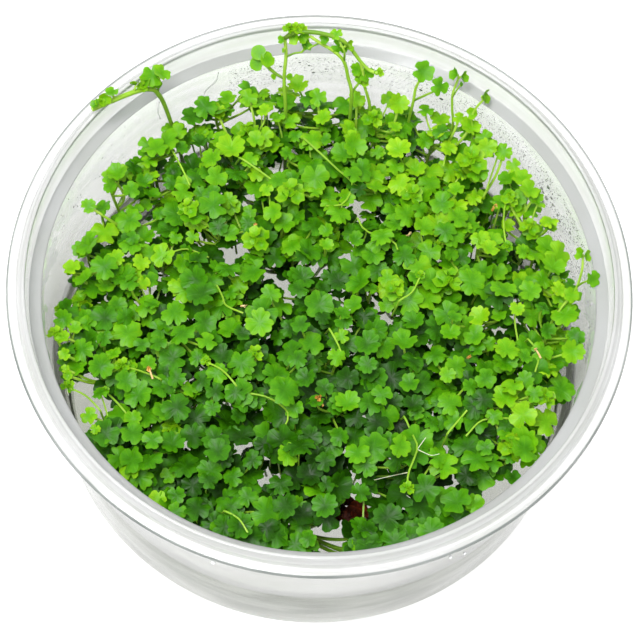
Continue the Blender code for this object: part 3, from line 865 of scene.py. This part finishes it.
# pale runners over the mat: places in mm at the mat's height, and the radius of the tip they end in
OVER_MAT = [
    (((-5.4, 35.7), (-1.6, 32.4), (2.0, 29.1), (4.7, 26.8), (4.5, 24.1), (2.9, 21.6), (0.0, 21.1)), 0),
    (((-17.4, 30.1), (-13.9, 27.9), (-9.9, 25.1)), 0),
    (((36.2, 27.4), (34.9, 24.1), (34.9, 19.0), (35.6, 15.1)), 1.0),
    (((6.4, 18.8), (8.1, 16.3), (13.3, 14.5), (14.5, 12.7)), 0),
    (((-11.8, -20.1), (-7.8, -20.8), (-4.2, -23.6), (-5.0, -27.5)), 0),
    (((17.8, -22.6), (19.3, -25.7), (20.5, -28.7), (19.1, -33.8), (19.1, -37.0)), 1.2),
    (((-29.1, -18.4), (-33.0, -17.1), (-36.9, -16.4)), 0.9),
    (((-41.5, -0.6), (-45.0, -0.8), (-47.1, -3.4), (-50.0, -5.6)), 0.9),
    (((-39.7, -25.7), (-42.6, -23.1), (-46.2, -21.6)), 1.2),
    (((26.2, -25.0), (28.5, -21.7), (29.5, -20.2)), 0),
    (((37.5, -21.2), (32.6, -22.0), (29.6, -25.5)), 0),
    (((-20.0, 2.4), (-18.6, -0.1), (-17.6, -2.1), (-14.3, -3.4)), 0),
    (((-14.6, -18.3), (-17.3, -15.6), (-20.4, -14.2)), 0.9),
    (((23.9, 41.0), (23.3, 36.6), (22.6, 32.2)), 0),
    (((-14.4, -44.5), (-11.8, -45.8), (-9.9, -48.4)), 0),
    (((-34.9, -26.1), (-37.1, -23.8), (-39.3, -22.0)), 0.8),
    (((37.3, 41.9), (33.5, 36.6), (31.2, 27.3)), 0),
    (((-31.6, 31.6), (-29.2, 27.7), (-26.9, 23.4)), 0),
    (((40.7, -4.5), (42.7, -7.4), (42.1, -11.1)), 0),
    (((15.5, 1.9), (17.7, 3.8), (19.1, 7.4)), 0.8),
    (((2.5, -5.5), (4.2, -8.4), (4.9, -10.0)), 0),
    (((30.0, 20.0), (27.0, 16.0), (22.5, 14.5)), 0.9),
    (((-30.0, 8.0), (-26.5, 9.5), (-22.0, 8.0)), 0),
]
# sprigs at the wall: a foot among the leaves, the tip's place, both in mm, and the leaf's radius
WALL_SPRIGS = [
    ((-44.0, -10.0, 34.0), (-50.0, -11.2, 39.6), 1.5),
    ((-43.5, -14.0, 33.0), (-49.0, -15.0, 39.8), 1.3),
    ((-42.0, -17.0, 32.0), (-48.8, -17.6, 38.6), 0.9),
    ((-42.0, -17.5, 32.0), (-46.6, -18.6, 39.0), 1.0),
    ((-36.5, -25.5, 32.0), (-42.6, -26.6, 38.2), 1.8),
    ((-37.0, -27.5, 31.0), (-39.9, -28.8, 38.6), 1.1),
    ((-41.0, 16.5, 34.0), (-47.0, 17.5, 40.5), 1.6),
    ((-38.5, 23.0, 34.0), (-43.5, 24.5, 40.0), 1.6),
    ((33.5, 31.5, 35.0), (35.4, 36.6, 42.4), 1.9),
    ((34.0, 31.0, 35.0), (37.9, 34.8, 40.4), 1.6),
    ((38.0, 25.0, 34.0), (42.4, 28.0, 40.2), 1.7),
    ((24.0, 36.5, 35.0), (27.8, 41.0, 42.6), 2.2),
    ((23.0, 37.0, 35.0), (25.0, 41.8, 43.0), 1.5),
    ((28.0, 35.5, 35.0), (30.9, 39.6, 41.4), 1.9),
    ((44.5, 1.5, 35.0), (48.2, 4.6, 42.9), 1.7),
    ((-14.0, 38.0, 34.0), (-17.0, 43.6, 41.6), 2.0),
    ((-20.0, 36.0, 34.0), (-23.0, 40.6, 40.4), 1.8),
    ((-2.0, 40.0, 34.0), (-3.4, 44.6, 42.0), 2.0),
    ((5.0, 40.0, 34.0), (4.4, 44.4, 43.0), 1.9),
    ((12.0, 39.0, 35.0), (12.8, 43.8, 43.2), 2.2),
]
RUNNER_RADIUS = 0.22 * MM
NEAREST_WALL = 50.8 * MM


def cover(x, y, reach):
    """Height of the highest leaf near a spot."""
    near = [leaf["z"] for leaf in leaf_places if math.hypot(leaf["x"] - x, leaf["y"] - y) < reach * MM]
    return max(near, default=mat_top(x, y))


def above_mat(x, y, lift):
    """A place on top of the mat for a spot in mm that is seen from above at the mat's height."""
    z = SPOT_LEVEL * MM
    for _ in range(3):
        shifted = y * MM + (SPOT_LEVEL * MM - z) * SLANT
        z = cover(x * MM, shifted, 1.8) + lift * MM
    away = math.hypot(x * MM, shifted)
    shrink = min(1, 50.6 * MM / away)
    return Vector((x * MM * shrink, shifted * shrink, z))


def inside_wall(place):
    """A place drawn in until it is clear of the wall."""
    return Vector((*(place.xy * min(1, NEAREST_WALL / place.xy.length)), place.z))


def lying_route(spots, lift, dip):
    """A level route over the mat, whose start dips into the leaves."""
    heights = sorted(above_mat(x, y, lift).z for x, y in spots)
    level = heights[-1 - len(heights) // 3]
    points = [Vector((x * MM, y * MM + (SPOT_LEVEL * MM - level) * SLANT, level)) for x, y in spots]
    points = [inside_wall(point) for point in points]
    heading = (points[1] - points[0]).normalized()
    feet = [points[0] - heading * 1.6 * MM - Vector((0, 0, dip * MM)), points[0] - heading * 0.5 * MM]
    feet[1].z -= dip * 0.25 * MM
    route = smooth_route([*feet, *points] if dip else points, 8)
    return [route[round(i * (len(route) - 1) / STEM_RINGS)] for i in range(STEM_RINGS + 1)]


def young_tip(growth, centre, up, radius, chance):
    """A tuft of young leaves round a bud."""
    up = Vector(up).normalized()
    side = up.orthogonal().normalized()
    other = up.cross(side)
    for k in range(5):
        turn = k * GOLDEN_TURN
        away = side * math.cos(turn) + other * math.sin(turn)
        spread = 0.55 if k < 4 else 0.1
        size = radius * chance.uniform(0.55, 0.8) * (1 if k < 4 else 0.5)
        spot = centre + away * radius * spread + up * radius * 0.12 * k
        growth.leaf(chance.choice(YOUNG_LEAVES), spot, up + away * chance.uniform(0.2, 0.6), turn + math.pi, size,
                    chance.uniform(0.68, 0.88))


def grown_from(growth, samples, tip, radius, age):
    """A stem from the nearest older stem up to a place."""
    lower = [p for p in samples if p.z < tip.z - 3 * MM]
    start = min(lower, key=lambda p: (p - tip).length)
    if (start - tip).xy.length > LONGEST_STALK:
        start = Vector((tip.x * 0.94, tip.y * 0.94, (GEL_TOP - 0.5) * MM))
    pull = (tip - start).length
    route = arc(start, start + Vector((0, 0, pull * 0.3)), tip - Vector((0, 0, pull * 0.4)), tip, STALK_RINGS)
    growth.stem(STALK_TUBE, route, radius, radius * 0.9, age - 0.2, age)


for x, y, radius in YOUNG_TIPS:
    place = above_mat(x, y, 0.7)
    name = owner_of(place.x, place.y)
    grown_from(growths[name], samples_of[name], place, STALK_RADIUS * 1.1, 0.9)
    young_tip(growths[name], place, (chance.gauss(0, 0.2), chance.gauss(-0.15, 0.2), 1), radius * MM, chance)

for spots, tip_radius in OVER_MAT:
    route = lying_route(spots, 0.3, 5)
    name = owner_of(route[0].x, route[0].y)
    growths[name].stem(STEM_TUBE, route, RUNNER_RADIUS, RUNNER_RADIUS * 0.85, 0.5, 0.85)
    if tip_radius:
        young_tip(growths[name], route[-1], (0, -0.2, 1), tip_radius * MM, chance)

for foot, tip, radius in WALL_SPRIGS:
    foot, tip = Vector(foot) * MM, Vector(tip) * MM
    tip = inside_wall(tip + tip.xy.normalized().to_3d() * radius * MM) - tip.xy.normalized().to_3d() * radius * MM
    joint = tip - Vector((0, 0, 0.4 * radius * MM))
    name = owner_of(foot.x, foot.y)
    start = min(samples_of[name], key=lambda p: (p - foot).length)
    route = arc(start, foot, foot.lerp(joint, 0.5) + Vector((0, 0, 1.5 * MM)), joint, STEM_RINGS)
    growths[name].stem(STEM_TUBE, route, STALK_RADIUS * 1.2, STALK_RADIUS, 0.6, 0.95)
    normal = (chance.gauss(0, 0.25), chance.gauss(-0.25, 0.25), 1)
    growths[name].leaf(chance.choice(FULL_LEAVES), tip, Vector(normal).normalized(), chance.uniform(0, math.tau),
                       radius * MM, chance.uniform(0.66, 0.86))

# %% Plantlets: two leaves pressed to the wall
WALL_LEAVES = (((-12.4, -49.4, 32.0), 2.9), ((-8.6, -50.0, 33.0), 2.0))
FRONT_LEAVES = (
    ((15.9, -40.6, 35.4), 3.0), ((12.2, -43.6, 34.2), 2.2), ((12.9, -46.4, 33.6), 2.8), ((17.2, -45.4, 34.8), 3.0),
    ((20.6, -44.2, 34.0), 2.7), ((19.0, -41.0, 33.0), 2.6), ((24.0, -42.6, 35.0), 2.8),
    ((-8.3, -44.0, 31.0), 2.2), ((-5.2, -43.7, 31.5), 2.1), ((-1.0, -45.9, 31.0), 2.5), ((1.3, -45.1, 32.4), 1.8),
    ((-0.2, -41.7, 31.0), 2.3), ((-6.6, -41.4, 33.4), 2.8), ((-2.4, -40.2, 33.0), 2.2), ((-14.4, -44.6, 34.0), 2.4),
    ((-40.4, -28.6, 33.0), 2.4), ((-37.7, -31.0, 31.0), 2.6), ((-34.1, -33.9, 32.0), 2.8), ((-29.2, -38.0, 32.0), 2.6),
)
# The front leaves get low ages, so they are painted darker: painted shade at the front of the mat.
for spot, radius in FRONT_LEAVES:
    spot = Vector(spot) * MM
    name = owner_of(spot.x, spot.y)
    grown_from(growths[name], samples_of[name], spot - Vector((0, 0, 0.42 * radius * MM)), STALK_RADIUS, 0.6)
    normal = Vector((chance.gauss(0, 0.2), chance.gauss(-0.2, 0.2), 1)).normalized()
    growths[name].leaf(chance.choice(FULL_LEAVES), spot, normal, chance.uniform(0, math.tau), radius * MM,
                       chance.uniform(0.26, 0.5))
for spot, radius in WALL_LEAVES:
    spot = Vector(spot) * MM
    name = owner_of(spot.x, spot.y)
    grown_from(growths[name], samples_of[name], spot, STALK_RADIUS, 0.5)
    growths[name].leaf(FULL_LEAVES[0], spot, (spot.x / MM, spot.y / MM, 12), 0.4, radius * MM, 0.2)

total = 0
for name, growth in growths.items():
    total += len(growth.mesh.faces)
    piece(f"{name}_foliage", growth.mesh, [leaf_finish, stem_finish], sharp=60, replaces=[name])
print("foliage faces:", total)

# %% [markdown]
# ## The shoots
# Runners that found no room in the mat climb out of it. They follow the same routes as their solids. Their
# leaves are curled and close together, because they are young and stand in the dry air above the mat.

# %% Shoots
FOOT = GEL_TOP + 0.3
# name: stems as (route from the gel or the parent stem to the tip in mm, radius at both ends in mm), then
# leaves as (shape, middle in mm, radius in mm, the way it faces), then young tips as (middle, radius) in mm
SHOOTS = {
    "runner_over_rim": (
        [
            (((-29, 37, FOOT), (-31, 38, 32), (-33.2, 38.8, 44), (-34.4, 38.2, 49.5), (-35.4, 37.8, 51.6),
              (-38, 36.4, 53.0), (-42.3, 33.4, 54.0), (-46.3, 31.0, 53.9)), 0.40, 0.52),
            (((-34.4, 38.2, 49.5), (-34.2, 38.5, 52.0), (-34.0, 38.7, 54.4)), 0.24, 0.2),
        ],
        [
            ("full", (-35.2, 38.5, 55.6), 2.3, (0.2, -0.5, 1)),
            ("full", (-33.4, 39.0, 56.4), 1.9, (0.5, 0.2, 1)),
            ("young", (-36.7, 37.7, 54.3), 1.5, (-0.6, -0.4, 1)),
            ("young", (-34.7, 38.4, 53.2), 1.3, (0.4, -0.8, 0.6)),
            ("young", (-38.5, 36.9, 55.0), 1.2, (-0.3, 0.9, 0.6)),
            ("full", (-42.7, 34.0, 56.2), 1.5, (-0.2, 0.4, 1)),
            ("young", (-44.0, 32.6, 55.2), 1.4, (0.3, -0.7, 1)),
            ("young", (-45.6, 31.6, 55.0), 1.1, (-0.7, -0.2, 1)),
        ],
        [((-44.8, 32.0, 54.9), 0.9), ((-37.2, 36.9, 53.6), 1.0)],
    ),
    "arch_stem": (
        [
            (((-8.8, 38, FOOT), (-9.3, 40, 33), (-9.5, 41, 43), (-10.1, 43.7, 49.6), (-10.0, 46, 54.3),
              (-10.4, 47.6, 57.8)), 0.40, 0.34),
            (((-10.1, 43.7, 49.6), (-11.7, 44.4, 49.9), (-13.4, 45.2, 51.0), (-14.5, 45.7, 52.8)), 0.3, 0.42),
            (((-9.9, 45.9, 54.2), (-8.4, 46.6, 54.5), (-7.0, 46.9, 54.7), (-6.5, 47.3, 55.8)), 0.22, 0.2),
        ],
        [
            ("round", (-15.4, 46.5, 54.0), 1.8, (-0.1, -0.4, 1)),
            ("round", (-15.6, 45.0, 52.2), 1.7, (-0.2, -0.6, 1)),
            ("round", (-13.5, 45.6, 53.2), 1.85, (0.5, -0.4, 1)),
            ("round", (-12.2, 44.0, 49.4), 0.75, (-0.5, -0.9, 0.6)),
            ("round", (-9.0, 44.0, 49.9), 0.85, (0.5, -0.9, 0.8)),
            ("young", (-6.3, 47.6, 56.2), 1.3, (0.7, -0.4, 0.9)),
            ("young", (-11.0, 47.2, 58.2), 0.9, (-0.7, -0.4, 0.9)),
            ("round", (-10.6, 45.9, 56.4), 0.6, (-0.9, -0.4, 0.5)),
        ],
        [],
    ),
    "arch_top": (
        [
            (((3.5, 39.5, FOOT), (3.4, 41.5, 40), (3.3, 42.7, 47.8), (2.4, 44.4, 50.4), (1.3, 45.7, 54.4),
              (-0.9, 46.8, 56.2), (-3.6, 47.5, 57.6), (-5.6, 48.0, 59.0)), 0.40, 0.34),
            (((1.3, 45.7, 54.4), (1.3, 46.4, 56.6), (0.6, 47.2, 57.8)), 0.26, 0.22),
            (((-3.6, 47.5, 57.6), (-4.9, 47.0, 57.0), (-5.7, 46.8, 56.4)), 0.2, 0.18),
        ],
        [
            ("full", (0.4, 47.2, 57.0), 1.9, (0.3, -0.9, 0.6)),
            ("full", (-0.6, 48.2, 60.2), 1.3, (-0.2, -0.2, 1)),
            ("young", (2.0, 47.2, 57.8), 1.2, (0.9, -0.3, 0.6)),
            ("young", (-2.7, 47.8, 58.7), 1.1, (-0.4, -0.7, 0.8)),
        ],
        [],
    ),
    "arch_tip": (
        [
            (((-10.4, 47.7, 58.0), (-9.4, 48.0, 59.0), (-7.7, 48.2, 59.9), (-4.5, 48.2, 60.1), (-2.0, 48.0, 59.8),
              (0.7, 47.6, 58.9), (2.6, 47.2, 56.6), (4.6, 46.2, 53.9), (6.5, 45.4, 52.2), (8.1, 45.0, 52.2)),
             0.48, 0.34),
            (((7.2, 40.5, FOOT), (7.4, 42.5, 40), (5.6, 44.4, 48.6), (5.2, 45.2, 51.4), (4.6, 46.1, 53.7)), 0.36, 0.3),
            (((3.3, 42.7, 47.8), (4.3, 43.9, 48.9), (5.4, 44.9, 50.2)), 0.26, 0.22),
        ],
        [
            ("young", (-8.8, 47.9, 58.3), 1.5, (-0.2, -0.9, 0.5)),
            ("young", (-7.0, 48.0, 58.5), 1.3, (0.5, -0.8, 0.6)),
            ("full", (4.0, 45.6, 51.8), 1.5, (-0.4, -0.8, 0.7)),
            ("full", (6.0, 45.1, 51.2), 1.7, (0.5, -0.7, 0.7)),
            ("young", (4.8, 45.0, 50.2), 1.3, (-0.2, -0.7, 0.8)),
            ("young", (5.6, 44.6, 49.2), 1.1, (0.3, -0.7, 0.8)),
        ],
        [((-9.8, 48.5, 60.2), 1.0), ((-8.5, 48.6, 60.3), 1.1), ((-7.2, 48.6, 60.2), 0.9), ((8.4, 45.0, 52.3), 0.8)],
    ),
    "back_shoot_1": (
        [
            (((14, 41.5, FOOT), (15.2, 43.4, 38), (15.7, 44.6, 43.4), (15.9, 45.8, 46.4), (17.0, 47.0, 49.2)), 0.36, 0.28),
            (((15.7, 44.6, 43.4), (18.0, 44.8, 45.6), (20.4, 45.2, 47.4)), 0.26, 0.22),
        ],
        [
            ("full", (17.1, 47.2, 50.4), 2.3, (0.1, -0.5, 1)),
            ("full", (20.6, 45.4, 48.2), 2.0, (0.4, -0.6, 1)),
        ],
        [],
    ),
    "back_shoot_2": (
        [
            (((23, 38, FOOT), (23.9, 41.6, 38), (23.4, 43.4, 43.6), (23.2, 44.8, 47.0), (24.0, 46.4, 50.2)), 0.32, 0.24),
            (((23.2, 44.4, 46.2), (24.0, 45.2, 48.0), (24.6, 45.6, 49.2)), 0.2, 0.16),
        ],
        [
            ("young", (23.2, 46.6, 51.2), 1.5, (-0.9, -0.2, 0.5)),
            ("young", (24.9, 46.4, 50.8), 1.3, (0.9, -0.2, 0.5)),
            ("round", (24.7, 45.6, 49.4), 0.6, (0.7, -0.3, 0.6)),
        ],
        [],
    ),
    "back_shoot_3": (
        [
            (((26.5, 34, FOOT), (28, 39.4, 38), (27.4, 41.4, 43.5), (28.0, 42.4, 46.2), (29.2, 43.2, 48.0)), 0.32, 0.24),
        ],
        [
            ("young", (29.5, 43.4, 49.0), 1.6, (0.9, -0.2, 0.3)),
            ("young", (27.4, 41.8, 45.0), 1.3, (-0.5, -0.6, 0.9)),
        ],
        [],
    ),
    "right_shoot": (
        [
            (((46.4, 4, FOOT), (48.0, 4.6, 37), (49.2, 6.6, 42.6), (49.7, 8.6, 46.0), (49.6, 10.4, 47.6)), 0.34, 0.24),
            (((49.2, 6.6, 42.6), (50.2, 6.6, 44.6), (51.4, 6.4, 46.2)), 0.22, 0.18),
        ],
        [
            ("young", (49.0, 10.8, 48.2), 1.3, (-0.8, -0.2, 0.6)),
            ("young", (50.3, 10.6, 48.0), 1.2, (0.8, -0.2, 0.6)),
            ("full", (51.8, 6.3, 47.0), 1.7, (0.6, -0.5, 1)),
        ],
        [],
    ),
}
LONG_TUBE = straight_tube(8, 48)
SHAPES = {"full": FULL_LEAVES[1:4], "young": YOUNG_LEAVES, "round": [ROUND_LOBE]}


def even(route, count):
    """The route's points spread evenly along it."""
    lengths = [0.0]
    for a, b in zip(route, route[1:]):
        lengths.append(lengths[-1] + (b - a).length)
    made, k = [], 0
    for i in range(count + 1):
        want = lengths[-1] * i / count
        while k < len(route) - 2 and lengths[k + 1] < want:
            k += 1
        made.append(route[k].lerp(route[k + 1], (want - lengths[k]) / max(lengths[k + 1] - lengths[k], 1e-9)))
    return made


for name, (stems, leaves, tips) in SHOOTS.items():
    growth = Growth()
    routes = []
    for points, start_radius, end_radius in stems:
        route = even(smooth_route([Vector(p) * MM for p in points], 12), 48)
        growth.stem(LONG_TUBE, route, start_radius * MM, end_radius * MM, 0.25, 0.9)
        routes.extend(route[4:])
    for shape, centre, radius, facing in leaves:
        centre, radius, normal = Vector(centre) * MM, radius * MM, Vector(facing).normalized()
        joint = centre - normal * radius * 0.36
        start = min(routes, key=lambda p: (p - joint).length)
        if (joint - start).length > 0.3 * MM:
            route = arc(start, start.lerp(joint, 0.5), joint - normal * radius * 0.3, joint, STALK_RINGS)
            growth.stem(STALK_TUBE, route, STALK_RADIUS, STALK_RADIUS * 0.9, 0.8, 0.9)
        turn = math.pi if shape == "round" else chance.uniform(0, math.tau)
        growth.leaf(chance.choice(SHAPES[shape]), centre, normal, turn, radius, chance.uniform(0.58, 0.84))
    for centre, radius in tips:
        young_tip(growth, Vector(centre) * MM, (0, -0.3, 1), radius * MM, chance)
    piece(f"{name}_grown", growth.mesh, [leaf_finish, stem_finish], sharp=60, replaces=[name])
print("shoots:", len(SHOOTS))

# %% [markdown]
# ## Roots in the air
# Where a runner lies over the mat it sends out thin white roots that search the air for the gel.

# %% Air roots
AIR_ROOTS = [
    ((20.5, -28.9), (21.5, -27.2), (22.6, -25.3), (22.3, -24.5)),
    ((20.5, -28.9), (21.7, -29.4), (23.2, -29.9), (24.7, -29.5)),
    ((19.1, -34.0), (17.1, -34.6), (14.7, -35.4), (12.7, -36.1)),
    ((20.5, -28.9), (19.9, -31.5), (19.3, -33.6)),
    ((-46.2, -21.6), (-47.4, -23.2), (-48.0, -24.4)),
    ((34.9, 24.1), (36.4, 25.2), (37.2, 26.8)),
]
root_finish, tree, shader = surface("pennywort root, white, in air", Roughness=0.45, Subsurface_Weight=0.2,
                                    Subsurface_Scale=0.4 * MM)
place = add(tree, "ShaderNodeTexCoord").outputs["Object"]
fine = add(tree, "ShaderNodeTexNoise", {"Vector": place, "Scale": 600.0, "Detail": 2.0}).outputs["Fac"]
tree.links.new(blend(tree, fine, "D9DFA8", "F4F3E2"), shader.inputs["Base Color"])
bump = add(tree, "ShaderNodeBump", {"Height": fine, "Strength": 0.3, "Distance": 0.1 * MM})
tree.links.new(bump.outputs["Normal"], shader.inputs["Normal"])
growth = Growth()
for spots in AIR_ROOTS:
    growth.stem(STEM_TUBE, lying_route(spots, 0.9, 0), 0.09 * MM, 0.06 * MM, 1, 1)
for face in growth.mesh.faces:
    face.material_index = 0
piece("air_roots", growth.mesh, [root_finish], sharp=60)
print("air roots:", len(AIR_ROOTS))

# %% [markdown]
# ## The withered leaves
# A clump of dead leaves lies on the gel near the front, red-brown and dull. Small dried tips, beige to orange,
# hang here and there in the mat.

# %% Withered leaves


def withered(name, stops, rough):
    """A dull dead leaf, patchy between its colours."""
    made, tree, shader = surface(name, Roughness=rough)
    place = add(tree, "ShaderNodeTexCoord").outputs["Object"]
    patches = add(tree, "ShaderNodeTexNoise", {"Vector": place, "Scale": 350.0, "Detail": 3.0}).outputs["Fac"]
    tree.links.new(scale_of(tree, patches, stops), shader.inputs["Base Color"])
    bump = add(tree, "ShaderNodeBump", {"Height": patches, "Strength": 0.6, "Distance": 0.3 * MM})
    tree.links.new(bump.outputs["Normal"], shader.inputs["Normal"])
    return made


dead_finish = withered("pennywort leaf, withered", (("3B160C", 0.35), ("7A3216", 0.52), ("C4601E", 0.68)), 0.6)
dry_finish = withered("pennywort leaf tip, dried", (("BE8630", 0.35), ("E2B45C", 0.5), ("F2E2B4", 0.65)), 0.7)
# places in mm at the mat's height, and the radius of each dried tip
DRIED_TIPS = [
    (1.3, -19.8, 1.3), (-31.0, -21.0, 1.2), (-14.0, -1.9, 0.9), (16.4, 17.0, 1.2), (42.0, -6.4, 1.0),
    (45.4, -15.9, 1.1), (33.0, 23.9, 1.3), (29.6, -8.4, 0.9), (-13.5, 15.9, 0.9), (33.5, 28.4, 0.9),
]

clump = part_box("withered_leaves")
clump_middle, clump_half = (clump[0] + clump[1]) / 2, (clump[1] - clump[0]) / 2
growth = Growth()
for _ in range(26):
    spot = Vector([clump_middle[k] + clump_half[k] * 0.75 * chance.uniform(-1, 1) for k in range(3)])
    normal = Vector((chance.gauss(0, 0.7), chance.gauss(0, 0.7), 1)).normalized()
    radius = chance.uniform(1.2, 2.2) * MM
    growth.leaf(chance.choice(YOUNG_LEAVES), spot, normal, chance.uniform(0, math.tau), radius, 0)
piece("withered_clump", growth.mesh, [dead_finish], sharp=60, replaces=["withered_leaves"])

growth = Growth()
for x, y, radius in DRIED_TIPS:
    tip = above_mat(x, y, 0.5)
    way = Vector((chance.uniform(-1, 1), chance.uniform(-1, 1), -0.6)) * radius * MM
    route = arc(tip, tip + way * 0.3, tip + way * 0.7 + Vector((0, 0, 0.3 * MM)), tip + way * 1.4, STALK_RINGS)
    growth.stem(STALK_TUBE, route, 0.16 * MM, 0.26 * MM, 0, 0)
    for _ in range(2):
        normal = Vector((chance.gauss(0, 1.2), chance.gauss(0, 1.2), 1)).normalized()
        size = radius * chance.uniform(0.35, 0.55) * MM
        growth.leaf(chance.choice(YOUNG_LEAVES), tip, normal, chance.uniform(0, math.tau), size, 0)
for face in growth.mesh.faces:
    face.material_index = 0
piece("dried_tips", growth.mesh, [dry_finish], sharp=60)
print("dried tips:", len(DRIED_TIPS))

# %% [markdown]
# ## Condensation
# Warm, damp air in the cup leaves droplets on the cool wall, fine at the back and bigger at the right, where
# some have run together. Each is a small closed cap of water whose flat side sits on the plastic. Two runs of
# water stand on the wall at the back left.

# %% Condensation
# from and to angle in degrees, from and to height in mm, count, smallest and biggest radius in mm, outside
DROP_PATCHES = [
    (84, 114, 35.0, 44.2, 900, 0.07, 0.13, False),
    (60, 84, 35.5, 44.6, 650, 0.07, 0.13, False),
    (38, 60, 32, 44.6, 650, 0.07, 0.14, False),
    (14, 38, 27, 43.5, 900, 0.08, 0.18, False),
    (22, 36, 33, 42.0, 12, 0.35, 0.6, False),
    (60, 112, 38, 43.0, 10, 0.28, 0.45, False),
    (-8, 16, 30, 43.0, 160, 0.08, 0.22, False),
    (140, 175, 34, 44.0, 60, 0.08, 0.2, False),
    (-112, -96, 28, 38.0, 12, 0.20, 0.50, True),
    (-66, -44, 18, 36.0, 16, 0.20, 0.45, True),
]
WATER_RUNS = [
    ((116.4, 44.5), (117.1, 41.8), (119.5, 40.0), (120.0, 38.3), (120.1, 36.2)),
    ((131.0, 44.0), (131.6, 41.0), (131.2, 38.0)),
]
INSIDE_FOOT, INSIDE_TOP = CUP_INSIDE[5], CUP_INSIDE[3]
OUTSIDE_FOOT, OUTSIDE_TOP = CUP_OUTSIDE[1], CUP_OUTSIDE[3]


def on_wall(turn, height, outside):
    """A place on the wall's face and the direction away from the plastic, for a turn and a height in mm."""
    foot, top = (OUTSIDE_FOOT, OUTSIDE_TOP) if outside else (INSIDE_FOOT, INSIDE_TOP)
    share = (height - foot[1]) / (top[1] - foot[1])
    radius = foot[0] + (top[0] - foot[0]) * share + (0.02 if outside else -0.02)
    away = Vector((math.cos(turn), math.sin(turn), 0))
    return Vector((away.x * radius, away.y * radius, height)) * MM, away if outside else -away


mesh = bmesh.new()
bmesh.ops.create_uvsphere(mesh, u_segments=7, v_segments=4, radius=1)
for vert in mesh.verts:
    vert.co.z = max(vert.co.z, 0) * 0.7
bmesh.ops.recalc_face_normals(mesh, faces=mesh.faces)
drop = bpy.data.meshes.new("drop shape")
mesh.to_mesh(drop)
mesh.free()

water, tree, shader = surface("water, condensed droplets", IOR=1.33, Transmission_Weight=1.0)
place = add(tree, "ShaderNodeTexCoord").outputs["Object"]
fine = add(tree, "ShaderNodeTexNoise", {"Vector": place, "Scale": 500.0, "Detail": 2.0}).outputs["Fac"]
tree.links.new(blend(tree, fine, "F2F5F5", "FEFEFE"), shader.inputs["Base Color"])
gloss = add(tree, "ShaderNodeMapRange", {"Value": fine, "To Min": 0.0, "To Max": 0.08}).outputs["Result"]
tree.links.new(gloss, shader.inputs["Roughness"])
bump = add(tree, "ShaderNodeBump", {"Height": fine, "Strength": 0.2, "Distance": 0.05 * MM})
tree.links.new(bump.outputs["Normal"], shader.inputs["Normal"])

growth = Growth()
for first, last, low, high, count, small, big, outside in DROP_PATCHES:
    for _ in range(count):
        turn = math.radians(chance.uniform(first, last))
        height = low + (high - low) * chance.random() ** 0.8
        if noise.noise(Vector((turn * 9, height / 5, 3))) < -0.3 and big < 0.35:
            continue
        radius = small + (big - small) * chance.random() ** 2
        centre, away = on_wall(turn, height, outside)
        growth.leaf(drop, centre, away, chance.uniform(0, math.tau), radius * MM, 0)
for run in WATER_RUNS:
    points = [on_wall(math.radians(turn), height, False)[0] for turn, height in run]
    inward = [Vector((-p.x, -p.y, 0)).normalized() * 0.16 * MM for p in points]
    route = smooth_route([p + shift for p, shift in zip(points, inward)], 12)
    route = [route[round(i * (len(route) - 1) / STEM_RINGS)] for i in range(STEM_RINGS + 1)]
    growth.stem(STEM_TUBE, route, 0.12 * MM, 0.12 * MM, 0, 0)
for face in growth.mesh.faces:
    face.material_index = 0
drops = growth.leaves
piece("condensation_drops", growth.mesh, [water], sharp=60)
print("drops:", drops)
